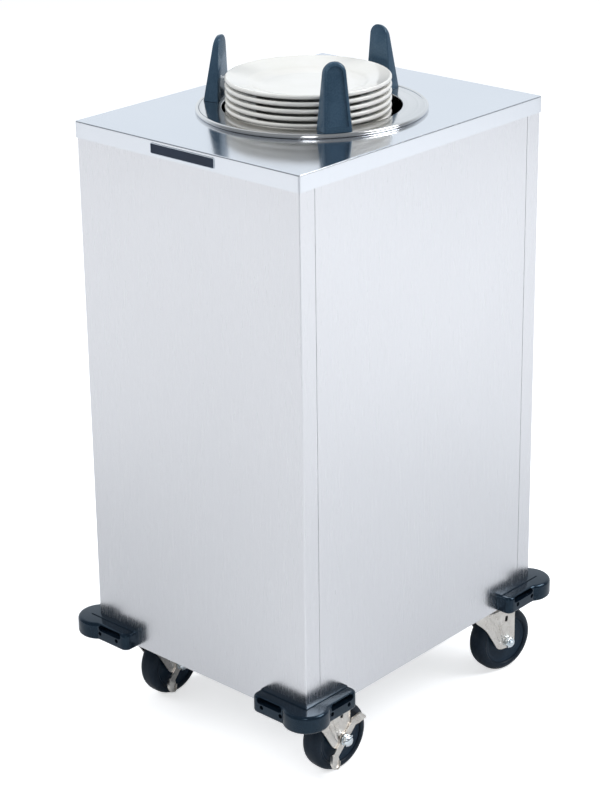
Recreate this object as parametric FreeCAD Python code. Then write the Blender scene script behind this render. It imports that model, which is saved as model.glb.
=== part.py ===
import FreeCAD, Part
import math
import os

# A mobile self-levelling plate dispenser: a stainless cabinet on four swivel casters, with a round
# dispenser let into its lid. Plates stand on a sprung carrier that slides on three rods, between
# three plastic guide posts. All sizes are in millimetres. X runs along the face with the name
# plate, Y runs from that face to the back, Z is up, and the origin is on the floor under the
# middle of the cabinet.

V = FreeCAD.Vector

# ---------------------------------------------------------------- sizes of the cabinet
lid_width = 413.0
lid_depth = 511.0
lid_flange_height = 23.5
lid_sheet = 1.5
lid_corner_radius = 3.0
lid_to_panel_gap = 0.4
cabinet_height = 780.0
panel_sheet = 1.2
panel_bend_radius = 1.6
panel_wrap = 28.5
panel_seam = 0.8
panel_tongue = 14.0
panel_lap = 4.0
pan_sheet = 1.6
pan_flange_height = 25.0
post_leg = 30.0
post_sheet = 1.5
stiffener_drop = 25.0
stiffener_sheet = 1.5
stiffener_edge_margin = 8.0
stiffener_wall_margin = 17.2
channel_width = 104.0
channel_height = 30.0
channel_sheet = 2.5
name_plate_width = 118.0
name_plate_height = 15.0
name_plate_thickness = 0.8
name_plate_corner = 2.5
name_plate_centre_x = 0.0

# ---------------------------------------------------------------- sizes of the dispenser
plate_to_hole = 9.7
flange_width = 36.5
flange_lap = 10.0
flange_bead_radius = 3.8
flange_sheet = 1.2
flange_face_height = 4.8
flange_brink_radius = 1.1
flange_skirt_depth = 14.0
frame_ring_thickness = 3.0
frame_ring_gap = 0.8
frame_ring_margin = 3.5
rod_count = 3
rod_radius = 6.0
rod_set_back = 12.5
rod_clear_of_guide_angle = 60.0
rod_end_below_ring = 7.0
bottom_ring_above_channels = 12.4
bottom_ring_thickness = 3.0
bottom_ring_half_width = 12.0
rod_nut_height = 6.5
rod_nut_across_flats = 19.0
collar_radius = 11.0
collar_height = 10.0
cushion_radius = 11.0
cushion_height = 8.0

# ---------------------------------------------------------------- sizes of the carrier
carrier_plate_inset = 11.8
carrier_plate_thickness = 3.0
carrier_plate_rim_depth = 8.0
carrier_column_radius = 30.0
carrier_column_wall = 2.0
carrier_column_height = 92.7
spider_thickness = 4.0
spider_hub_radius = 42.0
spider_arm_width = 34.0
spider_tab_half_angle = 19.5
spider_tab_half_width = 8.5
bush_radius = 10.0
bush_flange_radius = 14.0
bush_flange_thickness = 3.0
bush_rise = 17.0
bush_drop = 22.0
bush_clearance = 0.06
clip_width = 3.0
clip_thickness = 1.8
spring_radius = 5.5
spring_wall = 1.4
spring_angles = (-15.5, -9.5, 9.5, 15.5)
spring_stud_radius = 3.6
spring_stud_length = 12.0

# ---------------------------------------------------------------- sizes of the plates
plate_count = 6
plate_radius = 115.8
plate_pitch = 10.0
plate_height = 24.0
plate_foot_radius = 71.0
plate_foot_width = 5.0
plate_rim_thickness = 5.2
top_plate_rise = 48.0
stack_offset_x = -3.4
stack_offset_y = -3.4

# ---------------------------------------------------------------- sizes of the guide posts
guide_count = 3
first_guide_angle = -35.0
guide_set_back = 4.0
guide_foot_margin = 1.5
guide_top_depth = 7.0
guide_base_width = 50.0
guide_top_width = 34.0
guide_side_slope = 0.26
guide_height = 92.0
guide_recess_depth = 2.2
guide_recess_margin = 4.0
guide_recess_base = 7.0
guide_edge_radius = 1.2
guide_travel = 8.5
guide_stud_radius = 3.0
guide_stud_place = 0.62
guide_stud_depth = 12.0
guide_slot_clearance = 0.25
knob_radius = 6.5
knob_height = 14.0

# ---------------------------------------------------------------- sizes of the bumpers
bumper_height = 27.5
bumper_arm_length = 80.0
bumper_arm_thickness = 25.5
bumper_lobe_radius = 33.0
bumper_end_radius = 9.0
bumper_edge = 3.0
bumper_screw_places = (25.0, 60.0)
bumper_screw_height = 11.5
bumper_screw_radius = 2.0
bumper_screw_length = 16.0
bumper_screw_head_radius = 3.0
bumper_screw_head_height = 2.6
bumper_screw_seat = 8.0
bumper_pocket_clearance = 0.25
bumper_slot_height = 9.0
bumper_slot_depth = 8.5
bumper_slot_below_top = 2.5
bumper_slot_end_margin = 11.0
bumper_slot_lobe_margin = 2.0
screw_hole_clearance = 0.2

# ---------------------------------------------------------------- sizes of the casters
caster_height = 128.0
caster_inset_x = 43.0
caster_inset_y = 64.5
caster_trail = 37.0
wheel_radius = 51.0
wheel_width = 32.0
tyre_depth = 13.0
tyre_shoulder_radius = 6.0
core_web_width = 26.0
hub_radius = 13.0
hub_overhang = 1.7
caster_plate_x = 60.0
caster_plate_y = 92.0
caster_plate_thickness = 3.0
caster_plate_corner_radius = 3.0
caster_hole_x = 44.5
caster_hole_y = 76.0
caster_bolt_radius = 4.0
caster_bolt_clearance = 0.4
caster_bolt_across_flats = 13.0
caster_bolt_head_height = 5.3
caster_nut_height = 6.8
caster_bolt_end = 2.0
race_radius = 27.0
race_height = 6.7
kingpin_radius = 7.0
kingpin_clearance = 0.06
kingpin_head_radius = 11.0
kingpin_head_height = 3.2
fork_thickness = 3.5
fork_disc_radius = 34.0
leg_thickness = 2.5
leg_front = 28.0
leg_rear = 13.0
leg_front_drop = 26.0
leg_tip_front = 19.0
leg_tip_drop = 10.0
leg_corner_radius = 5.0
leg_window_y = 6.0
leg_window_z = 8.0
leg_window_back = 4.0
leg_window_rise = 40.0
axle_radius = 4.0
axle_sleeve_radius = 4.8
axle_clearance = 0.05
axle_head_across_flats = 13.0
axle_head_height = 5.5
axle_nut_across_flats = 15.0
axle_nut_height = 7.0
axle_end = 3.0
lever_thickness = 3.0
lever_hub_radius = 12.0
lever_pivot_radius = 6.0
lever_bar_width = 12.0
lever_angle = 48.0
lever_pad_start = 30.0
lever_pad_length = 18.0
lever_pad_width = 17.0
lever_pad_bend = 30.0

# Each caster: place along X and Y, how far it has swivelled, and whether it has a brake.
casters = {
    "front_right": (1, -1, -4.5, True),
    "front_left": (-1, -1, 0.0, True),
    "rear_left": (-1, 1, -6.0, False),
    "rear_right": (1, 1, -12.0, False),
}

# Gap between faces of pieces that move past or rest on each other.
running_gap = 0.3

# How far a cutting tool reaches past the faces it opens, and the slack when places are compared.
cut_past = 1.0
tiny = 1e-4

# ---------------------------------------------------------------- places worked out from the sizes
body_bottom = caster_height
lid_top = body_bottom + cabinet_height
lid_underside = lid_top - lid_sheet
panel_x = lid_width / 2 - lid_sheet - lid_to_panel_gap
panel_y = lid_depth / 2 - lid_sheet - lid_to_panel_gap
panel_inner_x = panel_x - panel_sheet
panel_inner_y = panel_y - panel_sheet
frame_x = panel_inner_x - panel_sheet
frame_y = panel_inner_y
pan_floor_top = body_bottom + pan_sheet
pan_flange_top = body_bottom + pan_flange_height
caster_place_x = lid_width / 2 - caster_inset_x
caster_place_y = lid_depth / 2 - caster_inset_y

flange_hole_radius = plate_radius + plate_to_hole
flange_outer_radius = flange_hole_radius + flange_width
lid_hole_radius = flange_outer_radius - flange_lap
flange_face_top = lid_top + flange_face_height
flange_face_bottom = flange_face_top - flange_sheet
ring_bottom = flange_face_bottom - frame_ring_thickness
frame_ring_inner_radius = flange_hole_radius + flange_sheet + frame_ring_gap
frame_ring_outer_radius = lid_hole_radius - frame_ring_margin
rod_circle_radius = flange_hole_radius + rod_set_back
bottom_ring_height = pan_floor_top + channel_height + bottom_ring_above_channels
bottom_ring_top = bottom_ring_height + bottom_ring_thickness
carrier_plate_radius = plate_radius - carrier_plate_inset

top_plate_rim = lid_top + top_plate_rise
lowest_foot = top_plate_rim - (plate_count - 1) * plate_pitch - plate_height
carrier_top = lowest_foot - running_gap
carrier_plate_bottom = carrier_top - carrier_plate_thickness
spider_top = carrier_plate_bottom - carrier_column_height
spider_bottom = spider_top - spider_thickness
bush_top = spider_top + bush_rise
bush_bottom = spider_bottom - bush_drop
cushion_top = bottom_ring_top + cushion_height
carrier_travel = bush_bottom - cushion_top - running_gap

guide_inner_radius = flange_hole_radius + guide_set_back
guide_base_depth = flange_width - 2 * flange_bead_radius - guide_set_back - guide_foot_margin
guide_stud_circle = guide_inner_radius + guide_stud_place * guide_base_depth
guide_base = flange_face_top + running_gap
knob_top = ring_bottom - running_gap

hub_half_width = wheel_width / 2 + hub_overhang
leg_inner = hub_half_width + running_gap
leg_outer = leg_inner + leg_thickness
race_bottom = caster_height - caster_plate_thickness - race_height
fork_top = race_bottom - running_gap
fork_bottom = fork_top - fork_thickness
lever_inner = leg_outer + running_gap
lever_outer = lever_inner + lever_thickness
lever_shoulder_end = lever_outer + running_gap


# ---------------------------------------------------------------- building blocks
def box(x0, x1, y0, y1, z0, z1):
    """A block between two corners."""
    return Part.makeBox(x1 - x0, y1 - y0, z1 - z0, V(x0, y0, z0))


def cylinder(radius, z0, z1, x=0.0, y=0.0):
    """An upright cylinder."""
    return Part.makeCylinder(radius, z1 - z0, V(x, y, z0))


def tube(outer, inner, z0, z1, x=0.0, y=0.0):
    """An upright tube."""
    return cylinder(outer, z0, z1, x, y).cut(cylinder(inner, z0, z1, x, y))


def cross_cylinder(radius, x0, x1, y, z):
    """A cylinder that lies along X."""
    return Part.makeCylinder(radius, x1 - x0, V(x0, y, z), V(1, 0, 0))


def turned(shape, degrees, x=0.0, y=0.0, z=0.0):
    """A copy turned about the Z axis and then moved."""
    moved = shape.copy()
    moved.rotate(V(0, 0, 0), V(0, 0, 1), degrees)
    moved.translate(V(x, y, z))
    return moved


def joined(shapes):
    """One solid made of shapes that meet."""
    return shapes[0].multiFuse(shapes[1:]).removeSplitter()


def group(shapes):
    """Separate solids kept together as one node."""
    return Part.makeCompound(shapes)


def polygon(points, plane):
    """A closed wire through flat points, which plane turns into points in space."""
    corners = [plane(a, b) for a, b in points]
    return Part.makePolygon(corners + corners[:1])


def in_xy(z):
    """Flat points laid level at the height z."""
    return lambda a, b: V(a, b, z)


def in_xz(a, b):
    """Flat points stood up across Y."""
    return V(a, 0, b)


def in_yz(x):
    """Flat points stood up across X."""
    return lambda a, b: V(x, a, b)


def prism(points, plane, direction):
    """A flat outline pushed along a direction."""
    return Part.Face(polygon(points, plane)).extrude(direction)


def revolved(points):
    """A profile of (radius, height) points turned about the Z axis."""
    return Part.Face(polygon(points, in_xz)).revolve(V(0, 0, 0), V(0, 0, 1), 360)


def half_round_ring(centre_radius, height, outer, inner):
    """The upper half of a round hollow section, turned about the Z axis."""
    ring = Part.makeTorus(centre_radius, outer, V(0, 0, height))
    ring = ring.cut(Part.makeTorus(centre_radius, inner, V(0, 0, height)))
    reach = centre_radius + 2 * outer
    return ring.common(cylinder(reach, height, height + 2 * outer))


def hexagon(across_flats, z0, z1, x=0.0, y=0.0):
    """An upright hexagon bar."""
    corner = across_flats / math.sqrt(3)
    places = [math.radians(60 * step) for step in range(6)]
    points = [(x + corner * math.cos(a), y + corner * math.sin(a)) for a in places]
    return prism(points, in_xy(z0), V(0, 0, z1 - z0))


def upright_edges(shape, keep):
    """The upright edges of a shape whose middle passes the test keep(x, y)."""
    found = []
    for edge in shape.Edges:
        ends = [vertex.Point for vertex in edge.Vertexes]
        if len(ends) != 2 or abs(ends[0].x - ends[1].x) > tiny or abs(ends[0].y - ends[1].y) > tiny:
            continue
        if keep(ends[0].x, ends[0].y):
            found.append(edge)
    return found


def round_at(edge, radius, height):
    """Whether an edge is a circle of that radius about the Z axis at that height."""
    place = edge.BoundBox
    level = abs(place.ZMin - height) < tiny and abs(place.ZMax - height) < tiny
    return level and abs(place.XMax - radius) < tiny and abs(place.YMax - radius) < tiny


def around_circle(count, first_angle, radius):
    """Evenly spaced places on a circle, as (angle, x, y)."""
    places = []
    for step in range(count):
        angle = first_angle + 360.0 * step / count
        turn = math.radians(angle)
        places.append((angle, radius * math.cos(turn), radius * math.sin(turn)))
    return places


# ---------------------------------------------------------------- fastener axes shared by several pieces
def bumper_corners():
    """The four corners of the panels, with the turn that brings a bumper there."""
    return {
        "rear_right": (0.0, panel_x, panel_y),
        "rear_left": (90.0, -panel_x, panel_y),
        "front_left": (180.0, -panel_x, -panel_y),
        "front_right": (270.0, panel_x, -panel_y),
    }


def bumper_screw_tools(radius, start, end):
    """Cylinders on every bumper screw's axis, from start to end outside the panel's face."""
    tools = []
    height = body_bottom + bumper_screw_height
    for place in bumper_screw_places:
        along_x = Part.makeCylinder(radius, end - start, V(-place, start, height), V(0, 1, 0))
        along_y = Part.makeCylinder(radius, end - start, V(start, -place, height), V(1, 0, 0))
        for corner in bumper_corners().values():
            tools += [turned(along_x, *corner), turned(along_y, *corner)]
    return tools


def drilled_for_bumpers(shape):
    """A sheet with the holes that the bumper screws pass through."""
    radius = bumper_screw_radius + screw_hole_clearance
    return shape.cut(group(bumper_screw_tools(radius, -bumper_screw_length, panel_sheet)))


def caster_bolt_places():
    """The places of every caster bolt."""
    places = []
    for side_x, side_y, _, _ in casters.values():
        for across in (-caster_hole_x / 2, caster_hole_x / 2):
            for along in (-caster_hole_y / 2, caster_hole_y / 2):
                places.append((side_x * caster_place_x + across, side_y * caster_place_y + along))
    return places


def drilled_for_casters(shape, z0, z1):
    """A sheet with the holes that the caster bolts pass through."""
    radius = caster_bolt_radius + caster_bolt_clearance
    return shape.cut(group([cylinder(radius, z0, z1, x, y) for x, y in caster_bolt_places()]))


# ---------------------------------------------------------------- cabinet
def make_lid():
    """The top sheet with turned-down sides and the round hole for the dispenser."""
    x, y = lid_width / 2, lid_depth / 2
    outer = box(-x, x, -y, y, lid_top - lid_flange_height, lid_top)
    outer = outer.makeFillet(lid_corner_radius, upright_edges(outer, lambda a, b: True))
    top_edges = [edge for edge in outer.Edges if abs(edge.BoundBox.ZMin - lid_top) < tiny]
    outer = outer.makeFillet(lid_sheet, top_edges)
    x, y = x - lid_sheet, y - lid_sheet
    inner = box(-x, x, -y, y, lid_top - 2 * lid_flange_height, lid_underside)
    inner = inner.makeFillet(lid_corner_radius - lid_sheet, upright_edges(inner, lambda a, b: True))
    hole = cylinder(lid_hole_radius, lid_underside - lid_sheet, lid_top + lid_sheet)
    return outer.cut(inner).cut(hole)


def make_wrapped_panel(side_y):
    """The front (-1) or rear (1) sheet, bent round onto both sides."""
    outer = box(-panel_x, panel_x, 0, panel_wrap, body_bottom, lid_underside)
    outer = outer.makeFillet(panel_bend_radius, upright_edges(outer, lambda a, b: b < panel_wrap / 2))
    inner = box(-panel_inner_x, panel_inner_x, panel_sheet, 2 * panel_wrap, body_bottom, lid_underside)
    sheet = outer.cut(inner)
    sheet.translate(V(0, -panel_y, 0))
    return drilled_for_bumpers(turned(sheet, 0 if side_y < 0 else 180))


def make_side_panel(side_x):
    """A flat side sheet whose joggled tongues reach behind the wrapped sheets."""
    seam_y = panel_y - panel_wrap - panel_seam
    sheet = box(panel_inner_x, panel_x, -seam_y, seam_y, body_bottom, lid_underside)
    pieces = [sheet]
    for way in (-1, 1):
        ends = sorted((way * (seam_y - panel_lap), way * (seam_y + panel_tongue)))
        pieces.append(box(frame_x, panel_inner_x, ends[0], ends[1], body_bottom, lid_underside))
    return drilled_for_bumpers(turned(joined(pieces), 0 if side_x > 0 else 180))


def make_base_pan():
    """The bottom sheet with turned-up sides."""
    outer = box(-frame_x, frame_x, -frame_y, frame_y, body_bottom, pan_flange_top)
    x, y = frame_x - pan_sheet, frame_y - pan_sheet
    pan = outer.cut(box(-x, x, -y, y, pan_floor_top, pan_flange_top + pan_sheet))
    return drilled_for_bumpers(drilled_for_casters(pan, body_bottom - cut_past, pan_floor_top + cut_past))


def make_caster_channel(side_y):
    """A channel across the pan that carries two casters."""
    x = frame_x - pan_sheet
    y = channel_width / 2
    top = pan_floor_top + channel_height
    outer = box(-x, x, -y, y, pan_floor_top, top)
    inner = box(-x, x, -y + channel_sheet, y - channel_sheet, pan_floor_top + channel_sheet, top)
    channel = outer.cut(inner)
    channel.translate(V(0, side_y * caster_place_y, 0))
    return drilled_for_casters(channel, pan_floor_top - cut_past, pan_floor_top + channel_sheet + cut_past)


def make_corner_posts():
    """Angles inside the four corners, from the pan's flange up to the lid."""
    posts = []
    for side_x in (-1, 1):
        for side_y in (-1, 1):
            x = sorted((side_x * frame_x, side_x * (frame_x - post_leg)))
            y = sorted((side_y * frame_y, side_y * (frame_y - post_leg)))
            outer = box(x[0], x[1], y[0], y[1], pan_flange_top, lid_underside)
            shift = V(-side_x * post_sheet, -side_y * post_sheet, 0)
            inner = outer.copy()
            inner.translate(shift)
            posts.append(outer.cut(inner))
    return group(posts)


def make_lid_stiffener(side_x):
    """An angle under the lid beside the dispenser's hole."""
    y = frame_y - post_leg
    x = lid_hole_radius + stiffener_edge_margin
    foot = box(x, frame_x - stiffener_wall_margin, -y, y, lid_underside - stiffener_sheet, lid_underside)
    web = box(x, x + stiffener_sheet, -y, y, lid_underside - stiffener_drop, lid_underside)
    return turned(joined([foot, web]), 0 if side_x > 0 else 180)


def make_name_plate():
    """A bare plate with rounded corners on the lid's front flange."""
    face = -lid_depth / 2
    middle = lid_top - lid_flange_height / 2
    x0 = name_plate_centre_x - name_plate_width / 2
    z0 = middle - name_plate_height / 2
    plate = box(x0, x0 + name_plate_width, face - name_plate_thickness, face, z0, z0 + name_plate_height)
    ends = [edge for edge in plate.Edges if edge.BoundBox.YLength > name_plate_thickness / 2]
    return plate.makeFillet(name_plate_corner, ends)


# ---------------------------------------------------------------- dispenser
def make_dispenser_flange():
    """The spun ring on the lid: a rolled bead, a flat face and a skirt turned down into the hole."""
    bead_centre = flange_outer_radius - flange_bead_radius
    bead_height = lid_top + flange_bead_radius
    bead = half_round_ring(bead_centre, bead_height, flange_bead_radius, flange_bead_radius - flange_sheet)
    wall = tube(flange_outer_radius, flange_outer_radius - flange_sheet, lid_top, bead_height)
    rise = flange_face_top - bead_height
    face_outer = bead_centre - math.sqrt(flange_bead_radius ** 2 - rise ** 2) + flange_sheet / 2
    face = tube(face_outer, flange_hole_radius, flange_face_bottom, flange_face_top)
    skirt_outer = flange_hole_radius + flange_sheet
    skirt = tube(skirt_outer, flange_hole_radius, lid_top - flange_skirt_depth, flange_face_top)
    flange = joined([bead, wall, face, skirt])
    brink = [edge for edge in flange.Edges if round_at(edge, flange_hole_radius, flange_face_top)]
    flange = flange.makeFillet(flange_brink_radius, brink)
    return flange.cut(guide_slots(flange_face_bottom - cut_past, flange_face_top + cut_past))


def guide_slots(z0, z1):
    """Tools for the radial slots that the guide studs slide in."""
    half = guide_stud_radius + guide_slot_clearance
    outer = guide_stud_circle
    inner = guide_stud_circle - guide_travel
    ends = [cylinder(half, z0, z1, inner), cylinder(half, z0, z1, outer)]
    slot = joined(ends + [box(inner, outer, -half, half, z0, z1)])
    return group([turned(slot, angle) for angle, _, _ in around_circle(guide_count, first_guide_angle, 0)])


def rod_places():
    """The places of the guide rods, halfway between the guide posts."""
    return around_circle(rod_count, first_guide_angle + rod_clear_of_guide_angle, rod_circle_radius)


def spring_places():
    """The places of the springs, on both sides of each rod."""
    places = []
    for offset in spring_angles:
        places += around_circle(rod_count, first_guide_angle + rod_clear_of_guide_angle + offset,
                                rod_circle_radius)
    return places


def make_frame_ring():
    """The ring under the flange that holds the rods, with a stud for the top of each spring."""
    ring = tube(frame_ring_outer_radius, frame_ring_inner_radius, ring_bottom, flange_face_bottom)
    studs = [cylinder(spring_stud_radius, ring_bottom - spring_stud_length, ring_bottom, x, y)
             for _, x, y in spring_places()]
    ring = joined([ring] + studs)
    return ring.cut(guide_slots(ring_bottom - cut_past, flange_face_bottom + cut_past))


def make_guide_rods():
    """The round rods that the carrier slides on."""
    end = bottom_ring_height - rod_end_below_ring
    return group([cylinder(rod_radius, end, ring_bottom, x, y) for _, x, y in rod_places()])


def make_bottom_ring():
    """The ring that ties the lower ends of the rods together."""
    ring = tube(rod_circle_radius + bottom_ring_half_width, rod_circle_radius - bottom_ring_half_width,
                bottom_ring_height, bottom_ring_top)
    holes = [cylinder(rod_radius, bottom_ring_height, bottom_ring_top, x, y) for _, x, y in rod_places()]
    return ring.cut(group(holes))


def make_rod_nuts():
    """A nut on each rod, under the bottom ring."""
    z0 = bottom_ring_height - rod_nut_height
    nuts = []
    for _, x, y in rod_places():
        nut = hexagon(rod_nut_across_flats, z0, bottom_ring_height, x, y)
        nuts.append(nut.cut(cylinder(rod_radius, z0, bottom_ring_height, x, y)))
    return group(nuts)


def make_rod_rings(radius, z0, z1):
    """A ring round each rod, such as a collar or a cushion."""
    return group([tube(radius, rod_radius, z0, z1, x, y) for _, x, y in rod_places()])


def make_lift_springs():
    """The springs at rest, as plain tubes over the studs at their two ends."""
    z0 = spider_top + running_gap
    z1 = ring_bottom - running_gap
    return group([tube(spring_radius, spring_radius - spring_wall, z0, z1, x, y)
                  for _, x, y in spring_places()])


# ---------------------------------------------------------------- carrier
def make_carrier_plate():
    """The round plate that the lowest dinner plate stands on, with a turned-down rim."""
    disc = cylinder(carrier_plate_radius, carrier_plate_bottom, carrier_top)
    rim = tube(carrier_plate_radius, carrier_plate_radius - carrier_plate_thickness,
               carrier_top - carrier_plate_rim_depth, carrier_top)
    return joined([disc, rim])


def make_carrier_column():
    """The tube that holds the carrier plate above the spider."""
    return tube(carrier_column_radius, carrier_column_radius - carrier_column_wall,
                spider_top, carrier_plate_bottom)


def make_carrier_spider():
    """The three-armed sheet that carries the bushes, with a stud for the bottom of each spring."""
    inner = rod_circle_radius - spider_tab_half_width
    outer = rod_circle_radius + spider_tab_half_width
    band = tube(outer, inner, spider_bottom, spider_top)
    reach = 2 * outer
    spread = math.radians(spider_tab_half_angle)
    wedge_points = [(0, 0), (reach, -reach * math.tan(spread)), (reach, reach * math.tan(spread))]
    wedge = prism(wedge_points, in_xy(spider_bottom), V(0, 0, spider_thickness))
    tab = band.common(wedge)
    arm = box(0, inner + spider_tab_half_width / 2, -spider_arm_width / 2, spider_arm_width / 2,
              spider_bottom, spider_top)
    pieces = [cylinder(spider_hub_radius, spider_bottom, spider_top)]
    for angle, _, _ in rod_places():
        pieces += [turned(tab, angle), turned(arm, angle)]
    for _, x, y in spring_places():
        pieces.append(cylinder(spring_stud_radius, spider_top, spider_top + spring_stud_length, x, y))
    holes = [cylinder(bush_radius, spider_bottom, spider_top, x, y) for _, x, y in rod_places()]
    return joined(pieces).cut(group(holes))


def make_carrier_bushes():
    """A flanged plastic bush on each rod."""
    bushes = []
    for _, x, y in rod_places():
        body = cylinder(bush_radius, bush_bottom, bush_top, x, y)
        flange = cylinder(bush_flange_radius, spider_top, spider_top + bush_flange_thickness, x, y)
        bore = cylinder(rod_radius + bush_clearance, bush_bottom, bush_top, x, y)
        bushes.append(joined([body, flange]).cut(bore))
    return group(bushes)


def make_carrier_clips():
    """A ring under the spider that keeps each bush in place."""
    outer = bush_radius + clip_width
    z0 = spider_bottom - clip_thickness
    return group([tube(outer, bush_radius, z0, spider_bottom, x, y) for _, x, y in rod_places()])


# ---------------------------------------------------------------- plates
def make_plate():
    """One plate, with the top of its rim at height 0 and its axis on Z."""
    floor_top = -plate_height + plate_pitch
    floor_bottom = -plate_height + plate_rim_thickness
    rim_inner = plate_radius - plate_rim_thickness
    well_outer = plate_foot_radius + 2 * plate_foot_width
    foot_inner = plate_foot_radius - plate_foot_width
    profile = [
        (0, floor_top),
        (plate_foot_radius, floor_top),
        (well_outer, floor_top + plate_rim_thickness / 3),
        (well_outer + plate_foot_width, floor_top + plate_rim_thickness),
        (rim_inner, -plate_rim_thickness / 4),
        (plate_radius - plate_rim_thickness / 3, 0),
        (plate_radius, -plate_rim_thickness / 3),
        (plate_radius, -2 * plate_rim_thickness / 3),
        (plate_radius - plate_rim_thickness / 3, -plate_rim_thickness),
        (rim_inner, -1.2 * plate_rim_thickness),
        (well_outer, floor_bottom + plate_rim_thickness / 4),
        (plate_foot_radius, floor_bottom),
        (plate_foot_radius, -plate_height),
        (foot_inner, -plate_height),
        (foot_inner, floor_bottom),
        (0, floor_bottom),
    ]
    return revolved(profile)


def make_plates(first, count):
    """Some of the plates, counted down from the top one, each standing in the well of the next."""
    plate = make_plate()
    return group([turned(plate, 0, stack_offset_x, stack_offset_y, top_plate_rim - step * plate_pitch)
                  for step in range(first, first + count)])


# ---------------------------------------------------------------- guide posts
def tapered_block(inner, outers, widths, slope, z0, z1):
    """A flat-sided block: its inner face stands at the radius inner, and outers and widths, each
    (base, top), say how far out it reaches and how wide that inner face is."""
    rings = []
    for outer, width, z in zip(outers, widths, (z0, z1)):
        half = width / 2
        far_half = half - slope * (outer - inner)
        rings.append([V(inner, -half, z), V(outer, -far_half, z), V(outer, far_half, z), V(inner, half, z)])
    base, top = rings
    faces = [base, top]
    for step in range(4):
        after = (step + 1) % 4
        faces.append([base[step], base[after], top[after], top[step]])
    shell = Part.makeShell([Part.Face(Part.makePolygon(face + face[:1])) for face in faces])
    return Part.makeSolid(shell)


def arched_prism(half_width, slab_half_width, z0, z1, x0, x1):
    """A prism along X: a slab under an arch of that half width, whose crown is at z1."""
    slab = box(x0, x1, -slab_half_width, slab_half_width, z0, z1 - half_width)
    return joined([slab, cross_cylinder(half_width, x0, x1, 0, z1 - half_width)])


def make_guide_post():
    """A tapering plastic post on the +X side, its outer face hollowed inside a raised rim."""
    top = guide_base + guide_height
    half_top = guide_top_width / 2
    growth = guide_height / (guide_height - half_top)
    widths = (guide_base_width, guide_base_width + growth * (guide_top_width - guide_base_width))
    outers = (guide_inner_radius + guide_base_depth, guide_inner_radius + guide_top_depth)
    block = tapered_block(guide_inner_radius, outers, widths, guide_side_slope, guide_base, top)
    reach = guide_inner_radius + 2 * guide_base_depth
    arch = arched_prism(half_top, guide_base_width, guide_base, top, guide_inner_radius, reach)
    post = block.common(arch).Solids[0]
    rim = []
    for edge in post.Edges:
        middle = edge.valueAt((edge.FirstParameter + edge.LastParameter) / 2)
        if middle.x > guide_inner_radius + guide_edge_radius and middle.z > guide_base + guide_edge_radius:
            rim.append(edge)
    post = post.makeFillet(guide_edge_radius, rim)

    floor = tapered_block(guide_inner_radius, [outer - guide_recess_depth for outer in outers],
                          (2 * guide_base_width, 2 * guide_base_width), 0, guide_base, top)
    face_widths = [width - 2 * guide_side_slope * (outer - guide_inner_radius) - 2 * guide_recess_margin
                   for width, outer in zip(widths, outers)]
    window = tapered_block(guide_inner_radius, (reach, reach), face_widths, 0, guide_base, top)
    window_half = half_top - guide_side_slope * guide_top_depth - guide_recess_margin
    window = window.common(arched_prism(window_half, guide_base_width, guide_base + guide_recess_base,
                                        top - guide_recess_margin, guide_inner_radius, reach))
    post = post.cut(window.cut(floor))
    stud_hole = cylinder(guide_stud_radius, guide_base, guide_base + guide_stud_depth, guide_stud_circle)
    return post.cut(stud_hole).Solids[0]


def make_guide_lock():
    """The stud and knurled knob that clamp a guide post from below, on the +X side."""
    stud = cylinder(guide_stud_radius, knob_top, guide_base + guide_stud_depth, guide_stud_circle)
    knob = cylinder(knob_radius, knob_top - knob_height, knob_top, guide_stud_circle)
    return joined([stud, knob])


# ---------------------------------------------------------------- bumpers
def make_bumper():
    """A bumper round the rear right corner of the panels, which lies at X 0, Y 0: two arms that meet
    in a round lobe, with a slot along the top of each arm's outer face."""
    z0, z1 = body_bottom, body_bottom + bumper_height
    t, length = bumper_arm_thickness, bumper_arm_length
    arms = joined([box(-length, t, 0, t, z0, z1), box(0, t, -length, t, z0, z1)])
    end_corners = upright_edges(arms, lambda a, b: abs(a - b) > length)
    arms = arms.makeFillet(bumper_end_radius, end_corners)
    body = joined([arms, cylinder(bumper_lobe_radius, z0, z1)])
    body = body.cut(box(-2 * length, 0, -2 * length, 0, z0, z1)).removeSplitter()
    rims = []
    for edge in body.Edges:
        place = edge.BoundBox
        on_panel = max(-place.XMin, place.XMax) < tiny or max(-place.YMin, place.YMax) < tiny
        if place.ZLength < tiny and not on_panel:
            rims.append(edge)
    body = body.makeChamfer(bumper_edge, rims)

    start = bumper_slot_end_margin - length
    end = -math.sqrt(bumper_lobe_radius ** 2 - t ** 2) - bumper_slot_lobe_margin
    top = z1 - bumper_slot_below_top
    slots = [box(start, end, t - bumper_slot_depth, t + cut_past, top - bumper_slot_height, top),
             box(t - bumper_slot_depth, t + cut_past, start, end, top - bumper_slot_height, top)]
    return body.cut(group(slots))


def make_bumpers():
    """All four bumpers with the pockets and holes for their screws."""
    pocket = bumper_screw_head_radius + bumper_pocket_clearance
    hole = bumper_screw_radius + screw_hole_clearance
    tools = bumper_screw_tools(pocket, bumper_screw_seat, bumper_arm_thickness + cut_past)
    tools += bumper_screw_tools(hole, -cut_past, bumper_screw_seat)
    bumper = make_bumper()
    return {name: turned(bumper, *place).cut(group(tools)) for name, place in bumper_corners().items()}


def make_bumper_screws():
    """The screws that hold the bumpers to the cabinet."""
    head_end = bumper_screw_seat + bumper_screw_head_height
    tip = bumper_screw_seat - bumper_screw_length
    shanks = bumper_screw_tools(bumper_screw_radius, tip, bumper_screw_seat)
    heads = bumper_screw_tools(bumper_screw_head_radius, bumper_screw_seat, head_end)
    return group([joined([shank, head]) for shank, head in zip(shanks, heads)])


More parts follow.
